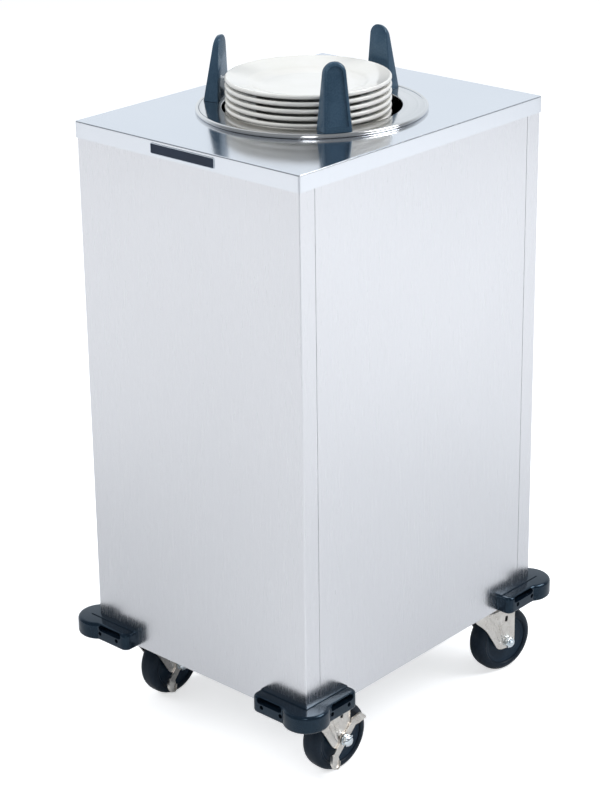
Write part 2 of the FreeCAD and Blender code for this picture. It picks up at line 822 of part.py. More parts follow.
# ---------------------------------------------------------------- casters
def placed_caster_piece(shape, name):
    """A copy of a piece, drawn round the swivel axis on Z, at its caster's place and swivel."""
    side_x, side_y, swivel, _ = casters[name]
    return turned(shape, swivel, side_x * caster_place_x, side_y * caster_place_y)


def make_caster_top_plates():
    """The fixed plate of each caster, with its ball race and kingpin."""
    z1 = caster_height
    x, y = caster_plate_x / 2, caster_plate_y / 2
    plate = box(-x, x, -y, y, z1 - caster_plate_thickness, z1)
    plate = plate.makeFillet(caster_plate_corner_radius, upright_edges(plate, lambda a, b: True))
    race = cylinder(race_radius, race_bottom, z1 - caster_plate_thickness)
    pin_bottom = fork_bottom - running_gap - kingpin_head_height
    pin = cylinder(kingpin_radius, pin_bottom, race_bottom)
    head = cylinder(kingpin_head_radius, pin_bottom, pin_bottom + kingpin_head_height)
    whole = joined([plate, race, pin, head])
    plates = []
    for side_x, side_y, _, _ in casters.values():
        plates.append(turned(whole, 0, side_x * caster_place_x, side_y * caster_place_y))
    return drilled_for_casters(group(plates), z1 - caster_plate_thickness - cut_past, z1 + cut_past)


def make_caster_bolts():
    """The bolts that hold the casters, up through the pan and the channels."""
    head_top = caster_height - caster_plate_thickness
    end = pan_floor_top + channel_sheet + caster_nut_height + caster_bolt_end
    bolts = []
    for x, y in caster_bolt_places():
        head = hexagon(caster_bolt_across_flats, head_top - caster_bolt_head_height, head_top, x, y)
        bolts.append(joined([head, cylinder(caster_bolt_radius, head_top, end, x, y)]))
    return group(bolts)


def make_caster_nuts():
    """The nuts of the caster bolts, on the channels."""
    z0 = pan_floor_top + channel_sheet
    z1 = z0 + caster_nut_height
    nuts = []
    for x, y in caster_bolt_places():
        nut = hexagon(caster_bolt_across_flats, z0, z1, x, y)
        nuts.append(nut.cut(cylinder(caster_bolt_radius, z0, z1, x, y)))
    return group(nuts)


def make_fork():
    """The pressed fork: a round top with a leg on each side of the wheel."""
    rear = caster_trail + leg_rear
    top = [cylinder(fork_disc_radius, fork_bottom, fork_top),
           box(-leg_outer, leg_outer, -leg_front, rear, fork_bottom, fork_top)]
    tip = wheel_radius - leg_tip_drop
    outline = [(-leg_front, fork_top), (-leg_front, caster_height - leg_front_drop),
               (caster_trail - leg_tip_front, tip), (rear, tip), (rear, fork_top)]
    leg = prism(outline, in_yz(leg_inner), V(leg_thickness, 0, 0))
    low = [edge for edge in leg.Edges if edge.BoundBox.XLength > leg_thickness / 2
           and edge.BoundBox.ZMax < wheel_radius]
    leg = leg.makeFillet(leg_corner_radius, low)
    window_y = caster_trail - leg_window_back
    window_z = wheel_radius + leg_window_rise
    window = box(leg_inner, leg_outer, window_y - leg_window_y / 2, window_y + leg_window_y / 2,
                 window_z - leg_window_z / 2, window_z + leg_window_z / 2)
    leg = leg.cut(window)
    other = leg.mirror(V(0, 0, 0), V(1, 0, 0))
    fork = joined(top + [leg, other])
    fork = fork.cut(cylinder(kingpin_radius + kingpin_clearance, fork_bottom, fork_top))
    end = leg_outer + cut_past
    return fork.cut(cross_cylinder(axle_radius, -end, end, caster_trail, wheel_radius))


def across_axle(shape):
    """A copy of a shape drawn round the Z axis, laid on the axle so that its +Z points along +X."""
    moved = shape.copy()
    moved.rotate(V(0, 0, 0), V(0, 1, 0), 90)
    moved.translate(V(0, caster_trail, wheel_radius))
    return moved


def make_axle(braked):
    """The axle bolt with its sleeve and nut, as separate solids."""
    seat = lever_shoulder_end if braked else leg_outer
    bolt = [cylinder(axle_radius, -leg_outer, seat + axle_nut_height + axle_end),
            cylinder(axle_sleeve_radius, -leg_inner, leg_inner),
            hexagon(axle_head_across_flats, -leg_outer - axle_head_height, -leg_outer)]
    if braked:
        bolt.append(cylinder(lever_pivot_radius, leg_outer, lever_shoulder_end))
    nut = hexagon(axle_nut_across_flats, seat, seat + axle_nut_height)
    nut = nut.cut(cylinder(axle_radius, seat, seat + axle_nut_height))
    return group([across_axle(joined(bolt)), across_axle(nut)])


def make_wheel_core():
    """The moulded core with its hub and bore."""
    bore = axle_sleeve_radius + axle_clearance
    core_radius = wheel_radius - tyre_depth
    web = tube(core_radius, bore, -core_web_width / 2, core_web_width / 2)
    hub = tube(hub_radius, bore, -hub_half_width, hub_half_width)
    return across_axle(joined([web, hub]))


def make_tyre():
    """The tread, with rounded shoulders."""
    half = wheel_width / 2
    tyre = cylinder(wheel_radius, -half, half)
    shoulders = [edge for edge in tyre.Edges if round_at(edge, wheel_radius, edge.BoundBox.ZMax)]
    tyre = tyre.makeFillet(tyre_shoulder_radius, shoulders)
    return across_axle(tyre.cut(cylinder(wheel_radius - tyre_depth, -half, half)))


def make_brake_lever():
    """The brake lever: a bar through the axle with a pad bent outwards at each end."""
    hub = cylinder(lever_hub_radius, lever_inner, lever_outer)
    bar = box(-lever_bar_width / 2, lever_bar_width / 2, -lever_pad_start, lever_pad_start,
              lever_inner, lever_outer)
    pad = box(-lever_pad_width / 2, lever_pad_width / 2, 0, lever_pad_length, 0, lever_thickness)
    pad.rotate(V(0, 0, 0), V(1, 0, 0), lever_pad_bend)
    pad.translate(V(0, lever_pad_start - lever_thickness / 2, lever_inner))
    pad = pad.common(box(-lever_pad_width, lever_pad_width, 0, 3 * lever_pad_length,
                         lever_inner, lever_inner + 2 * lever_pad_length))
    lever = joined([hub, bar, pad, turned(pad, 180)])
    lever = lever.cut(cylinder(lever_pivot_radius + axle_clearance, lever_inner, lever_outer))
    lever.rotate(V(0, 0, 0), V(0, 0, 1), lever_angle)
    return across_axle(lever)


# ---------------------------------------------------------------- all nodes
def all_nodes():
    """Every node by name."""
    nodes = {
        "top_lid": make_lid(),
        "front_panel": make_wrapped_panel(-1),
        "rear_panel": make_wrapped_panel(1),
        "left_side_panel": make_side_panel(-1),
        "right_side_panel": make_side_panel(1),
        "base_pan": make_base_pan(),
        "front_caster_channel": make_caster_channel(-1),
        "rear_caster_channel": make_caster_channel(1),
        "corner_posts": make_corner_posts(),
        "left_lid_stiffener": make_lid_stiffener(-1),
        "right_lid_stiffener": make_lid_stiffener(1),
        "name_plate": make_name_plate(),
        "dispenser_flange": make_dispenser_flange(),
        "dispenser_frame_ring": make_frame_ring(),
        "guide_rods": make_guide_rods(),
        "dispenser_bottom_ring": make_bottom_ring(),
        "rod_nuts": make_rod_nuts(),
        "rod_top_collars": make_rod_rings(collar_radius, bush_top + running_gap,
                                          bush_top + running_gap + collar_height),
        "rod_stop_cushions": make_rod_rings(cushion_radius, bottom_ring_top, cushion_top),
        "lift_springs": make_lift_springs(),
        "carrier_plate": make_carrier_plate(),
        "carrier_column": make_carrier_column(),
        "carrier_spider": make_carrier_spider(),
        "carrier_bushes": make_carrier_bushes(),
        "carrier_clips": make_carrier_clips(),
        "plate_stack": make_plates(1, plate_count - 1),
        "top_plate": make_plates(0, 1),
        "bumper_screws": make_bumper_screws(),
        "caster_top_plates": make_caster_top_plates(),
        "caster_bolts": make_caster_bolts(),
        "caster_nuts": make_caster_nuts(),
    }
    for name, bumper in make_bumpers().items():
        nodes["bumper_" + name] = bumper
    post, lock = make_guide_post(), make_guide_lock()
    for step, (angle, _, _) in enumerate(around_circle(guide_count, first_guide_angle, 0)):
        nodes["guide_post_%d" % (step + 1)] = turned(post, angle)
        nodes["guide_lock_%d" % (step + 1)] = turned(lock, angle)
    fork, core, tyre, lever = make_fork(), make_wheel_core(), make_tyre(), make_brake_lever()
    for name, (_, _, _, braked) in casters.items():
        nodes["caster_fork_" + name] = placed_caster_piece(fork, name)
        nodes["wheel_core_" + name] = placed_caster_piece(core, name)
        nodes["wheel_tyre_" + name] = placed_caster_piece(tyre, name)
        nodes["wheel_axle_" + name] = placed_caster_piece(make_axle(braked), name)
        if braked:
            nodes["brake_lever_" + name] = placed_caster_piece(lever, name)
    return nodes


def main():
    """Writes one STEP file per node and prints what a record of the cart needs."""
    os.makedirs("parts", exist_ok=True)
    nodes = all_nodes()
    for name, shape in nodes.items():
        if not shape.isValid():
            print("not valid:", name)
        shape.exportStep("parts/%s.step" % name)
    print("nodes:", len(nodes))
    print("carrier travel: %.2f" % carrier_travel)
    print("top of the lid: %.2f, top of the guides: %.2f" % (lid_top, guide_base + guide_height))
    print("top end of the springs: %.2f" % (ring_bottom - running_gap))


main()
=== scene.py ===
"""The finished look of a mobile plate dispenser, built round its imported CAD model.

The cart is a stainless cabinet on four swivel casters. A spun ring let into its lid holds a stack of
dinner plates on a sprung carrier, between three plastic guide posts. Sizes are in millimetres in the
classes below and become metres when a mesh is made. X runs along the face with the name plate, Y from
that face to the back, and Z is up, with the origin on the floor under the middle of the cabinet.
"""
from __future__ import annotations

import logging
import math
from dataclasses import dataclass
from enum import Enum
from typing import Optional, Sequence

import bmesh
import bpy
import numpy as np
from mathutils import Matrix

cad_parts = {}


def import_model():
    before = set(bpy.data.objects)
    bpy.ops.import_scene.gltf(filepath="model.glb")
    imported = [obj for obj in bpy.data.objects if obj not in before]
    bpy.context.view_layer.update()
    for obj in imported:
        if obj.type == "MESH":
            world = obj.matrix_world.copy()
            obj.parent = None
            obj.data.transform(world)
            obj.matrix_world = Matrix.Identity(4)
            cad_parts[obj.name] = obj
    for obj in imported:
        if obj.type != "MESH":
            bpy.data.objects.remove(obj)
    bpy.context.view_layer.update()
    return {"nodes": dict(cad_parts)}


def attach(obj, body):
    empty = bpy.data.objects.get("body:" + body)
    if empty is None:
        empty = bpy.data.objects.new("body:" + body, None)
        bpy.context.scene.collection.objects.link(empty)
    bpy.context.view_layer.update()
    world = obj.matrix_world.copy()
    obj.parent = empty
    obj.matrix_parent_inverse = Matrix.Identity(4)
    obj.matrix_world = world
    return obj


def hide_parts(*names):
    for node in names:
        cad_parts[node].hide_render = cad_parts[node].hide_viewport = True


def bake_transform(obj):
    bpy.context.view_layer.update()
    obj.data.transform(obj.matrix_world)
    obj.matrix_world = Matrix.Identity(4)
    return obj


LOG = logging.getLogger("plate_cart")
METRES = 0.001
WHITE = (1.0, 1.0, 1.0, 1.0)
FINE_LAYERS, BROAD_LAYERS = 4.0, 2.0
RAMP = (0.38, 0.62)
ROUGH_SPAN = (0.3, 0.7)
OVERCUT = 2.0

Array = np.ndarray
Colour = tuple[float, float, float]


# ------------------------------------------------------------------------------------------ finishes
def node(tree: bpy.types.NodeTree, kind: str, inputs: dict, output: int | str = 0,
         **settings: str) -> bpy.types.NodeSocket:
    """Adds a shader node.

    Args:
        tree: node tree that it joins.
        kind: type of the node, without its leading "ShaderNode".
        inputs: for each input, the socket that feeds it or its constant value.
        output: output that is wanted.
        settings: other properties of the node.

    Returns:
        The socket of that output.
    """
    made = tree.nodes.new("ShaderNode" + kind)
    for name, value in settings.items():
        setattr(made, name, value)
    for place, value in inputs.items():
        if isinstance(value, bpy.types.NodeSocket):
            tree.links.new(value, made.inputs[place])
        else:
            made.inputs[place].default_value = value
    return made.outputs[output]


class Grain(Enum):
    """How the fine pattern of a finish is stretched, as scales along X, Y and Z."""

    ALONG_X = (1.0, 55.0, 55.0)
    ALONG_Y = (55.0, 1.0, 55.0)
    ALONG_Z = (55.0, 55.0, 1.0)
    UNFOLDED = (1.0, 55.0, 1.0)
    EVEN = (1.0, 1.0, 1.0)
    TURNED = (0.0, 0.0, 0.0)


@dataclass(frozen=True)
class Finish:
    """A surface finish, varied by a fine pattern and by broad soft clouds.

    Attributes:
        name: name of the material.
        slot: material slot of the record that the finish belongs to; not used.
        colour: colour where the pattern is low.
        other: colour where the pattern is high.
        metal: 1 for metal, 0 for plastic, rubber and glaze.
        rough: roughness where the fine pattern is low and where it is high.
        grain: direction of the fine pattern.
        fine: scale of the fine pattern, in waves per metre.
        broad: scale of the clouds, in waves per metre.
        relief: depth of the fine pattern in the shading, in metres.
        tint: colour of the highlights.
        gloss: strength of the highlights on a finish that isn't metal.
    """

    name: str
    slot: str
    colour: Colour
    other: Colour
    metal: float = 0.0
    rough: tuple[float, float] = (0.3, 0.4)
    grain: Grain = Grain.EVEN
    fine: float = 60.0
    broad: float = 4.0
    relief: float = 0.0
    tint: Colour = (1.0, 1.0, 1.0)
    gloss: float = 0.5

    def material(self) -> bpy.types.Material:
        """Gives the material of this finish, made at its first use.

        No finish has the name of a material slot, because the frame brings materials of those names.

        Returns:
            The material, shared by every piece with this finish.
        """
        known = bpy.data.materials.get(self.name)
        if known is not None:
            return known
        made = bpy.data.materials.new(self.name)
        made.use_nodes = True
        tree = made.node_tree
        shader = tree.nodes["Principled BSDF"]
        fine = self._noise(tree, self._pattern_place(tree), self.fine, FINE_LAYERS)
        broad = self._noise(tree, node(tree, "TexCoord", {}, "Object"), self.broad, BROAD_LAYERS)
        half = node(tree, "Math", {0: fine, 1: 0.5}, operation="MULTIPLY")
        blend = node(tree, "Math", {0: broad, 1: 0.5, 2: half}, operation="MULTIPLY_ADD")
        colour = node(tree, "ValToRGB", {"Fac": blend}, "Color")
        stops = colour.node.color_ramp.elements
        for stop, place, value in zip(stops, RAMP, (self.colour, self.other)):
            stop.position = place
            stop.color = (*value, 1.0)
        span = {"From Min": ROUGH_SPAN[0], "From Max": ROUGH_SPAN[1],
                "To Min": self.rough[0], "To Max": self.rough[1]}
        rough = node(tree, "MapRange", {"Value": fine, **span}, "Result")
        for name, value in (("Metallic", self.metal), ("Specular Tint", (*self.tint, 1.0)),
                            ("Specular IOR Level", self.gloss)):
            shader.inputs[name].default_value = value
        tree.links.new(colour, shader.inputs["Base Color"])
        tree.links.new(rough, shader.inputs["Roughness"])
        if self.relief > 0:
            bump = node(tree, "Bump", {"Strength": 1.0, "Distance": self.relief, "Height": fine})
            tree.links.new(bump, shader.inputs["Normal"])
        return made

    def _pattern_place(self, tree: bpy.types.NodeTree) -> bpy.types.NodeSocket:
        """Adds the nodes that place the fine pattern.

        Args:
            tree: node tree of the material.

        Returns:
            The socket with the stretched coordinates.
        """
        if self.grain is Grain.TURNED:
            place = node(tree, "TexCoord", {}, "Object")
            flat = node(tree, "Mapping", {"Vector": place, "Scale": (1.0, 1.0, 0.0)})
            radius = node(tree, "VectorMath", {0: flat}, "Value", operation="LENGTH")
            height = node(tree, "SeparateXYZ", {"Vector": place}, "Z")
            return node(tree, "CombineXYZ", {"X": radius, "Z": height})
        source = "UV" if self.grain is Grain.UNFOLDED else "Object"
        place = node(tree, "TexCoord", {}, source)
        return node(tree, "Mapping", {"Vector": place, "Scale": self.grain.value})

    @staticmethod
    def _noise(tree: bpy.types.NodeTree, place: bpy.types.NodeSocket, scale: float,
               detail: float) -> bpy.types.NodeSocket:
        """Adds a noise pattern.

        Args:
            tree: node tree of the material.
            place: socket with the coordinates.
            scale: waves per metre.
            detail: layers of finer noise.

        Returns:
            The socket with the pattern's height.
        """
        return node(tree, "TexNoise", {"Scale": scale, "Detail": detail, "Vector": place}, "Fac")


SHEET_LIGHT: Colour = (0.80, 0.80, 0.825)
SHEET_DARK: Colour = (0.76, 0.76, 0.785)
# The lid is the same stainless as the face sheets. Its colours keep that grey and add a bluer tint that
# is painted blue reflection.
LID_SHEET_BLUE_REFLECTION = Finish("brushed_lid_sheet", "stainless_sheet", (0.73, 0.755, 0.80), (0.78, 0.80, 0.84), 1.0,
                   (0.10, 0.17), Grain.UNFOLDED, 16.0, 3.0, 0.000004)
FACE_SHEET = Finish("brushed_face_sheet", "stainless_sheet", SHEET_DARK, SHEET_LIGHT, 1.0,
                    (0.23, 0.28), Grain.ALONG_Z, 26.0, 2.0, 0.000003)
INNER_SHEET = Finish("mill_sheet", "inner_sheet", (0.40, 0.41, 0.43), (0.52, 0.53, 0.55), 1.0,
                     (0.36, 0.5), Grain.ALONG_X, 8.0, 6.0)
SPUN_RING = Finish("spun_ring", "spun_stainless", (0.67, 0.67, 0.67), (0.81, 0.80, 0.79), 1.0,
                   (0.09, 0.16), Grain.TURNED, 260.0, 5.0, 0.00001)
PLATE_NAVY = Finish("name_plate_navy", "name_plate_metal", (0.006, 0.014, 0.032), (0.012, 0.024, 0.05),
                    0.0, (0.28, 0.4), Grain.ALONG_X, 14.0, 20.0, gloss=0.3)
PLATE_BORDER = Finish("name_plate_border", "name_plate_metal", (0.50, 0.56, 0.64), (0.62, 0.67, 0.73),
                      1.0, (0.2, 0.3), Grain.ALONG_X, 14.0, 20.0)
FRAME_STEEL = Finish("dull_steel", "frame_steel", (0.44, 0.45, 0.47), (0.56, 0.57, 0.58), 1.0,
                     (0.3, 0.42), Grain.TURNED, 160.0, 9.0)
BRIGHT_STEEL = Finish("bright_fasteners", "bright_steel", (0.72, 0.79, 0.84), (0.82, 0.88, 0.92), 1.0,
                      (0.12, 0.2), Grain.EVEN, 300.0, 40.0)
ZINC = Finish("zinc_plating", "zinc_plate", (0.66, 0.625, 0.58), (0.80, 0.765, 0.72), 1.0,
              (0.24, 0.34), Grain.EVEN, 90.0, 14.0, 0.000008)
BUSH = Finish("natural_bush", "bush_plastic", (0.78, 0.75, 0.66), (0.85, 0.83, 0.76), 0.0,
              (0.4, 0.5), Grain.EVEN, 200.0, 20.0)
GUIDE = Finish("moulded_guide", "guide_plastic", (0.034, 0.066, 0.105), (0.050, 0.090, 0.137), 0.0,
               (0.10, 0.16), Grain.EVEN, 420.0, 26.0, 0.000004, (0.55, 0.8, 1.0), 0.55)
KNOB = Finish("moulded_knob", "knob_plastic", (0.008, 0.009, 0.011), (0.014, 0.015, 0.018), 0.0,
              (0.4, 0.55), Grain.EVEN, 300.0, 60.0, gloss=0.2)
BUMPER = Finish("moulded_bumper", "bumper_rubber", (0.0035, 0.008, 0.015), (0.007, 0.0135, 0.0235), 0.0,
                (0.10, 0.16), Grain.EVEN, 380.0, 30.0, 0.000006, (0.5, 0.76, 1.0), 0.46)
GLAZE = Finish("white_glaze", "porcelain", (0.84, 0.83, 0.79), (0.88, 0.87, 0.84), 0.0,
               (0.07, 0.11), Grain.EVEN, 30.0, 9.0, gloss=0.4)
WHEEL_CORE = Finish("moulded_core", "wheel_core", (0.011, 0.022, 0.038), (0.017, 0.031, 0.050), 0.0,
                    (0.3, 0.44), Grain.EVEN, 260.0, 30.0, 0.00002, gloss=0.14)
TREAD = Finish("moulded_tread", "wheel_tread", (0.008, 0.015, 0.025), (0.013, 0.022, 0.035), 0.0,
               (0.3, 0.42), Grain.EVEN, 320.0, 30.0, 0.00002, gloss=0.14)


# ------------------------------------------------------------------------------------------ surfaces
def grid_faces(rows: int, columns: int, close_rows: bool, close_columns: bool, start: int) -> Array:
    """Numbers the four corners of every cell of a grid of points stored row after row.

    Args:
        rows: number of rows.
        columns: points in a row.
        close_rows: whether the last row joins the first.
        close_columns: whether the last point of a row joins its first.
        start: number of the grid's first point.

    Returns:
        One row of four point numbers for each cell.
    """
    row = np.arange(rows if close_rows else rows - 1)[:, None]
    column = np.arange(columns if close_columns else columns - 1)[None, :]
    row_after, column_after = (row + 1) % rows, (column + 1) % columns
    cells = [row * columns + column, row * columns + column_after,
             row_after * columns + column_after, row_after * columns + column]
    return np.stack(np.broadcast_arrays(*cells), -1).reshape(-1, 4) + start


def around(angle: Array) -> Array:
    """Gives the point (cos a, sin a) for each angle a, in radians."""
    return np.stack([np.cos(angle), np.sin(angle)], -1)


def full_turn(count: int) -> Array:
    """Spaces so many angles evenly round a circle, in radians."""
    return np.linspace(0.0, 2 * math.pi, count, endpoint=False)


def spun(radius: Array, height: Array, angle: Array) -> Array:
    """Gives the point (r cos a, r sin a, z) for each radius r, height z and angle a."""
    radius, height, angle = np.broadcast_arrays(radius, height, angle)
    return np.stack([radius * np.cos(angle), radius * np.sin(angle), height], -1)


def softened(corners: Array, setback: float | Sequence[float], steps: int = 5,
             closed: bool = False) -> Array:
    """Rounds the corners of a flat line.

    Each corner V gives way to the curve (1-t)^2 A + 2t(1-t) V + t^2 C for t from 0 to 1, where A and C
    lie on its two sides at the setback from V. A setback is at most 0.49 of either side.

    Args:
        corners: points of the line, one row each.
        setback: distance of A and C from V, one for all corners or one for each.
        steps: points of each curve.
        closed: whether the line returns to its first corner.

    Returns:
        The points of the rounded line.
    """
    points = np.asarray(corners, float)
    setbacks = np.broadcast_to(np.asarray(setback, float), (len(points),))
    before, after = np.roll(points, 1, 0), np.roll(points, -1, 0)
    to_before, to_after = before - points, after - points
    length_before = np.linalg.norm(to_before, axis=1)
    length_after = np.linalg.norm(to_after, axis=1)
    reach = np.minimum(setbacks, 0.49 * np.minimum(length_before, length_after))
    first = points + to_before * (reach / np.maximum(length_before, 1e-9))[:, None]
    last = points + to_after * (reach / np.maximum(length_after, 1e-9))[:, None]
    t = np.linspace(0.0, 1.0, steps)[None, :, None]
    curves = (1 - t) ** 2 * first[:, None] + 2 * t * (1 - t) * points[:, None] + t ** 2 * last[:, None]
    if closed:
        return curves.reshape(-1, points.shape[1])
    inside = curves[1:-1].reshape(-1, points.shape[1])
    return np.vstack([points[:1], inside, points[-1:]])


def both_ways(half: Sequence[Sequence[float]], setbacks: Sequence[float], steps: int) -> Array:
    """Draws a rounded line whose second half mirrors its first one about height 0.

    Args:
        half: corners of the first half, one row each.
        setbacks: setback of each of those corners.
        steps: points of each curve.

    Returns:
        The points of the whole rounded line.
    """
    corners = np.array(half)
    whole = np.vstack([corners, corners[::-1] * (1, -1)])
    return softened(whole, [*setbacks, *setbacks[::-1]], steps)


def revolved(profile: Array, segments: int = 96) -> Array:
    """Turns a profile of radius and height about the Z axis.

    The point at the angle a is (r cos a, r sin a, z) for each (r, z) of the profile.

    Args:
        profile: radius and height of each point.
        segments: steps round the axis.

    Returns:
        A grid of points, one row for each point of the profile.
    """
    return spun(profile[:, :1], profile[:, 1:], full_turn(segments)[None, :])


def rounded_rectangle(half_x: float, half_y: float, radius: float, steps: int = 8,
                      side_points: int = 0) -> tuple[Array, Array]:
    """Draws a rectangle with round corners and gives its outward directions.

    A corner's points are its centre plus the radius times (cos a, sin a), which is also the outward
    direction there. Points on the straight sides are spaced evenly between two corners.

    Args:
        half_x: half the width.
        half_y: half the depth.
        radius: radius of the corners.
        steps: points at each corner.
        side_points: points on each straight side.

    Returns:
        The points and the outward directions, anticlockwise from the corner at +X, +Y.
    """
    centres = np.array([[1, 1], [-1, 1], [-1, -1], [1, -1]]) * (half_x - radius, half_y - radius)
    angle = np.linspace(0.0, math.pi / 2, steps)[None, :] + np.arange(4)[:, None] * math.pi / 2
    away = around(angle)
    corner = centres[:, None] + radius * away
    if side_points:
        t = np.linspace(0.0, 1.0, side_points + 2)[1:-1][None, :, None]
        side = corner[:, -1:] * (1 - t) + np.roll(corner[:, :1], -1, 0) * t
        corner = np.concatenate([corner, side], 1)
        away = np.concatenate([away, np.repeat(away[:, -1:], side_points, 1)], 1)
    return corner.reshape(-1, 2), away.reshape(-1, 2)


def rolled(outline: Array, away: Array, profile: Array) -> Array:
    """Carries a profile round a flat outline.

    The point of the outline P with the outward direction N moves to P - d N at the height z for each
    (d, z) of the profile.

    Args:
        outline: points of the outline.
        away: outward direction at each point, or zero where the outline stays in place.
        profile: inset and height of each row.

    Returns:
        A grid of points, one row for each point of the profile.
    """
    flat = outline[None] - profile[:, :1, None] * away[None]
    height = np.broadcast_to(profile[:, 1:, None], flat.shape[:2] + (1,))
    return np.concatenate([flat, height], -1)


def prism(outline: Array, low: float, high: float) -> Array:
    """Carries a flat outline straight from one height to another, as a grid of two rows."""
    return rolled(outline, np.zeros_like(outline), np.array([[0.0, low], [0.0, high]]))


def edge_roll(low: float, high: float, low_radius: float, high_radius: float, steps: int = 7) -> Array:
    """Draws the profile of a slab whose lower and upper edges are quarter circles.

    Args:
        low: height of the underside.
        high: height of the top.
        low_radius: radius of the lower edge.
        high_radius: radius of the upper edge.
        steps: points of each quarter circle.

    Returns:
        Inset and height of each point, from the underside to the top.
    """
    angle = np.linspace(0.0, math.pi / 2, steps)
    lower = np.stack([1 - np.sin(angle), 1 - np.cos(angle)], 1) * low_radius + (0.0, low)
    upper = np.stack([1 - np.cos(angle), np.sin(angle) - 1], 1) * high_radius + (0.0, high)
    return np.vstack([lower, upper])


def turned_and_moved(points: Array, degrees: float = 0.0, x: float = 0.0, y: float = 0.0,
                     z: float = 0.0) -> Array:
    """Turns points about the Z axis and then moves them.

    Args:
        points: points in the last axis of an array.
        degrees: turn.
        x: move along X.
        y: move along Y.
        z: move along Z.

    Returns:
        The moved points.
    """
    a = math.radians(degrees)
    turn = np.array([[math.cos(a), math.sin(a), 0.0], [-math.sin(a), math.cos(a), 0.0], [0.0, 0.0, 1.0]])
    return points @ turn + np.array([x, y, z])


class Shape:
    """Points and faces of one piece, gathered from grids, and made a mesh at the end."""

    def __init__(self) -> None:
        """Starts an empty shape."""
        self._points: list[Array] = []
        self._faces: list[list[int]] = []
        self._unfolded: list[Array] = []
        self._count = 0

    def grid(self, points: Array, close_rows: bool = False, close_columns: bool = True,
             cap_first: bool = False, cap_last: bool = False,
             unfolded: Optional[Array] = None) -> "Shape":
        """Adds a grid of points as a surface.

        Args:
            points: rows of points in millimetres.
            close_rows: whether the last row joins the first.
            close_columns: whether the last point of a row joins its first.
            cap_first: whether one face closes the first row.
            cap_last: whether one face closes the last row.
            unfolded: flat coordinates of each point for the grain, in metres.

        Returns:
            This shape.
        """
        rows, columns = points.shape[:2]
        cells = grid_faces(rows, columns, close_rows, close_columns, self._count)
        self._faces += cells.tolist()
        if cap_first:
            self._faces.append((np.arange(columns)[::-1] + self._count).tolist())
        if cap_last:
            self._faces.append((np.arange(columns) + (rows - 1) * columns + self._count).tolist())
        self._points.append(points.reshape(-1, 3))
        flat = np.zeros((rows * columns, 2)) if unfolded is None else unfolded.reshape(-1, 2)
        self._unfolded.append(flat)
        self._count += rows * columns
        return self

    def solid(self, points: Array) -> "Shape":
        """Adds a grid that one face closes at each end."""
        return self.grid(points, cap_first=True, cap_last=True)

    def make(self, name: str, sharp: float = 32.0) -> bpy.types.Object:
        """Makes the object, with its doubles merged, its faces outwards and sharp edges marked.

        Args:
            name: name of the object.
            sharp: edges with a larger angle than this, in degrees, are shaded sharp.

        Returns:
            The new object, at the origin.
        """
        mesh = bpy.data.meshes.new(name)
        mesh.from_pydata(np.vstack(self._points) * METRES, [], self._faces)
        flat = mesh.uv_layers.new(name="sheet")
        corner_points = np.zeros(len(mesh.loops), np.int32)
        mesh.loops.foreach_get("vertex_index", corner_points)
        flat.data.foreach_set("uv", np.vstack(self._unfolded)[corner_points].ravel())
        work = bmesh.new()
        work.from_mesh(mesh)
        bmesh.ops.remove_doubles(work, verts=work.verts, dist=1e-6)
        bmesh.ops.recalc_face_normals(work, faces=work.faces)
        work.to_mesh(mesh)
        work.free()
        smooth(mesh, sharp)
        made = bpy.data.objects.new(name, mesh)
        bpy.context.scene.collection.objects.link(made)
        return made


def smooth(mesh: bpy.types.Mesh, sharp: float) -> None:
    """Shades a mesh smooth, apart from edges with a larger angle than sharp, in degrees."""
    mesh.polygons.foreach_set("use_smooth", np.ones(len(mesh.polygons), bool))
    mesh.set_sharp_from_angle(angle=math.radians(sharp))
    mesh.update()


def cut(piece: bpy.types.Object, tool: Shape, sharp: float = 32.0) -> None:
    """Cuts a tool out of a piece for good, and leaves no modifier.

    Args:
        piece: object that is cut.
        tool: shape of the hollow.
        sharp: edges with a larger angle than this, in degrees, are shaded sharp.
    """
    cutter = tool.make("cutter")
    step = piece.modifiers.new("cut", "BOOLEAN")
    step.operation = "DIFFERENCE"
    step.solver = "EXACT"
    step.object = cutter
    ready = piece.evaluated_get(bpy.context.evaluated_depsgraph_get())
    mesh = bpy.data.meshes.new_from_object(ready)
    piece.modifiers.remove(step)
    old, piece.data = piece.data, mesh
    mesh.name = piece.name
    bpy.data.meshes.remove(old)
    used = cutter.data
    bpy.data.objects.remove(cutter)
    bpy.data.meshes.remove(used)
    smooth(mesh, sharp)


def dress(piece: bpy.types.Object, finish: Finish) -> None:
    """Gives an object one finish in all its material slots."""
    if not piece.data.materials:
        piece.data.materials.append(finish.material())
    for place in piece.material_slots:
        place.material = finish.material()


def mount(piece: bpy.types.Object, finish: Finish, body: str, nodes: Sequence[str] = ()) -> None:
    """Dresses a new piece and ties it to the frame.

    Args:
        piece: the new piece.
        finish: its finish.
        body: CAD body that it moves with.
        nodes: CAD nodes that it stands for.
    """
    dress(piece, finish)
    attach(piece, body)
    if nodes:
        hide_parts(*nodes)
    LOG.info("%s rides on %s and stands for %s", piece.name, body, ", ".join(nodes) or "nothing")


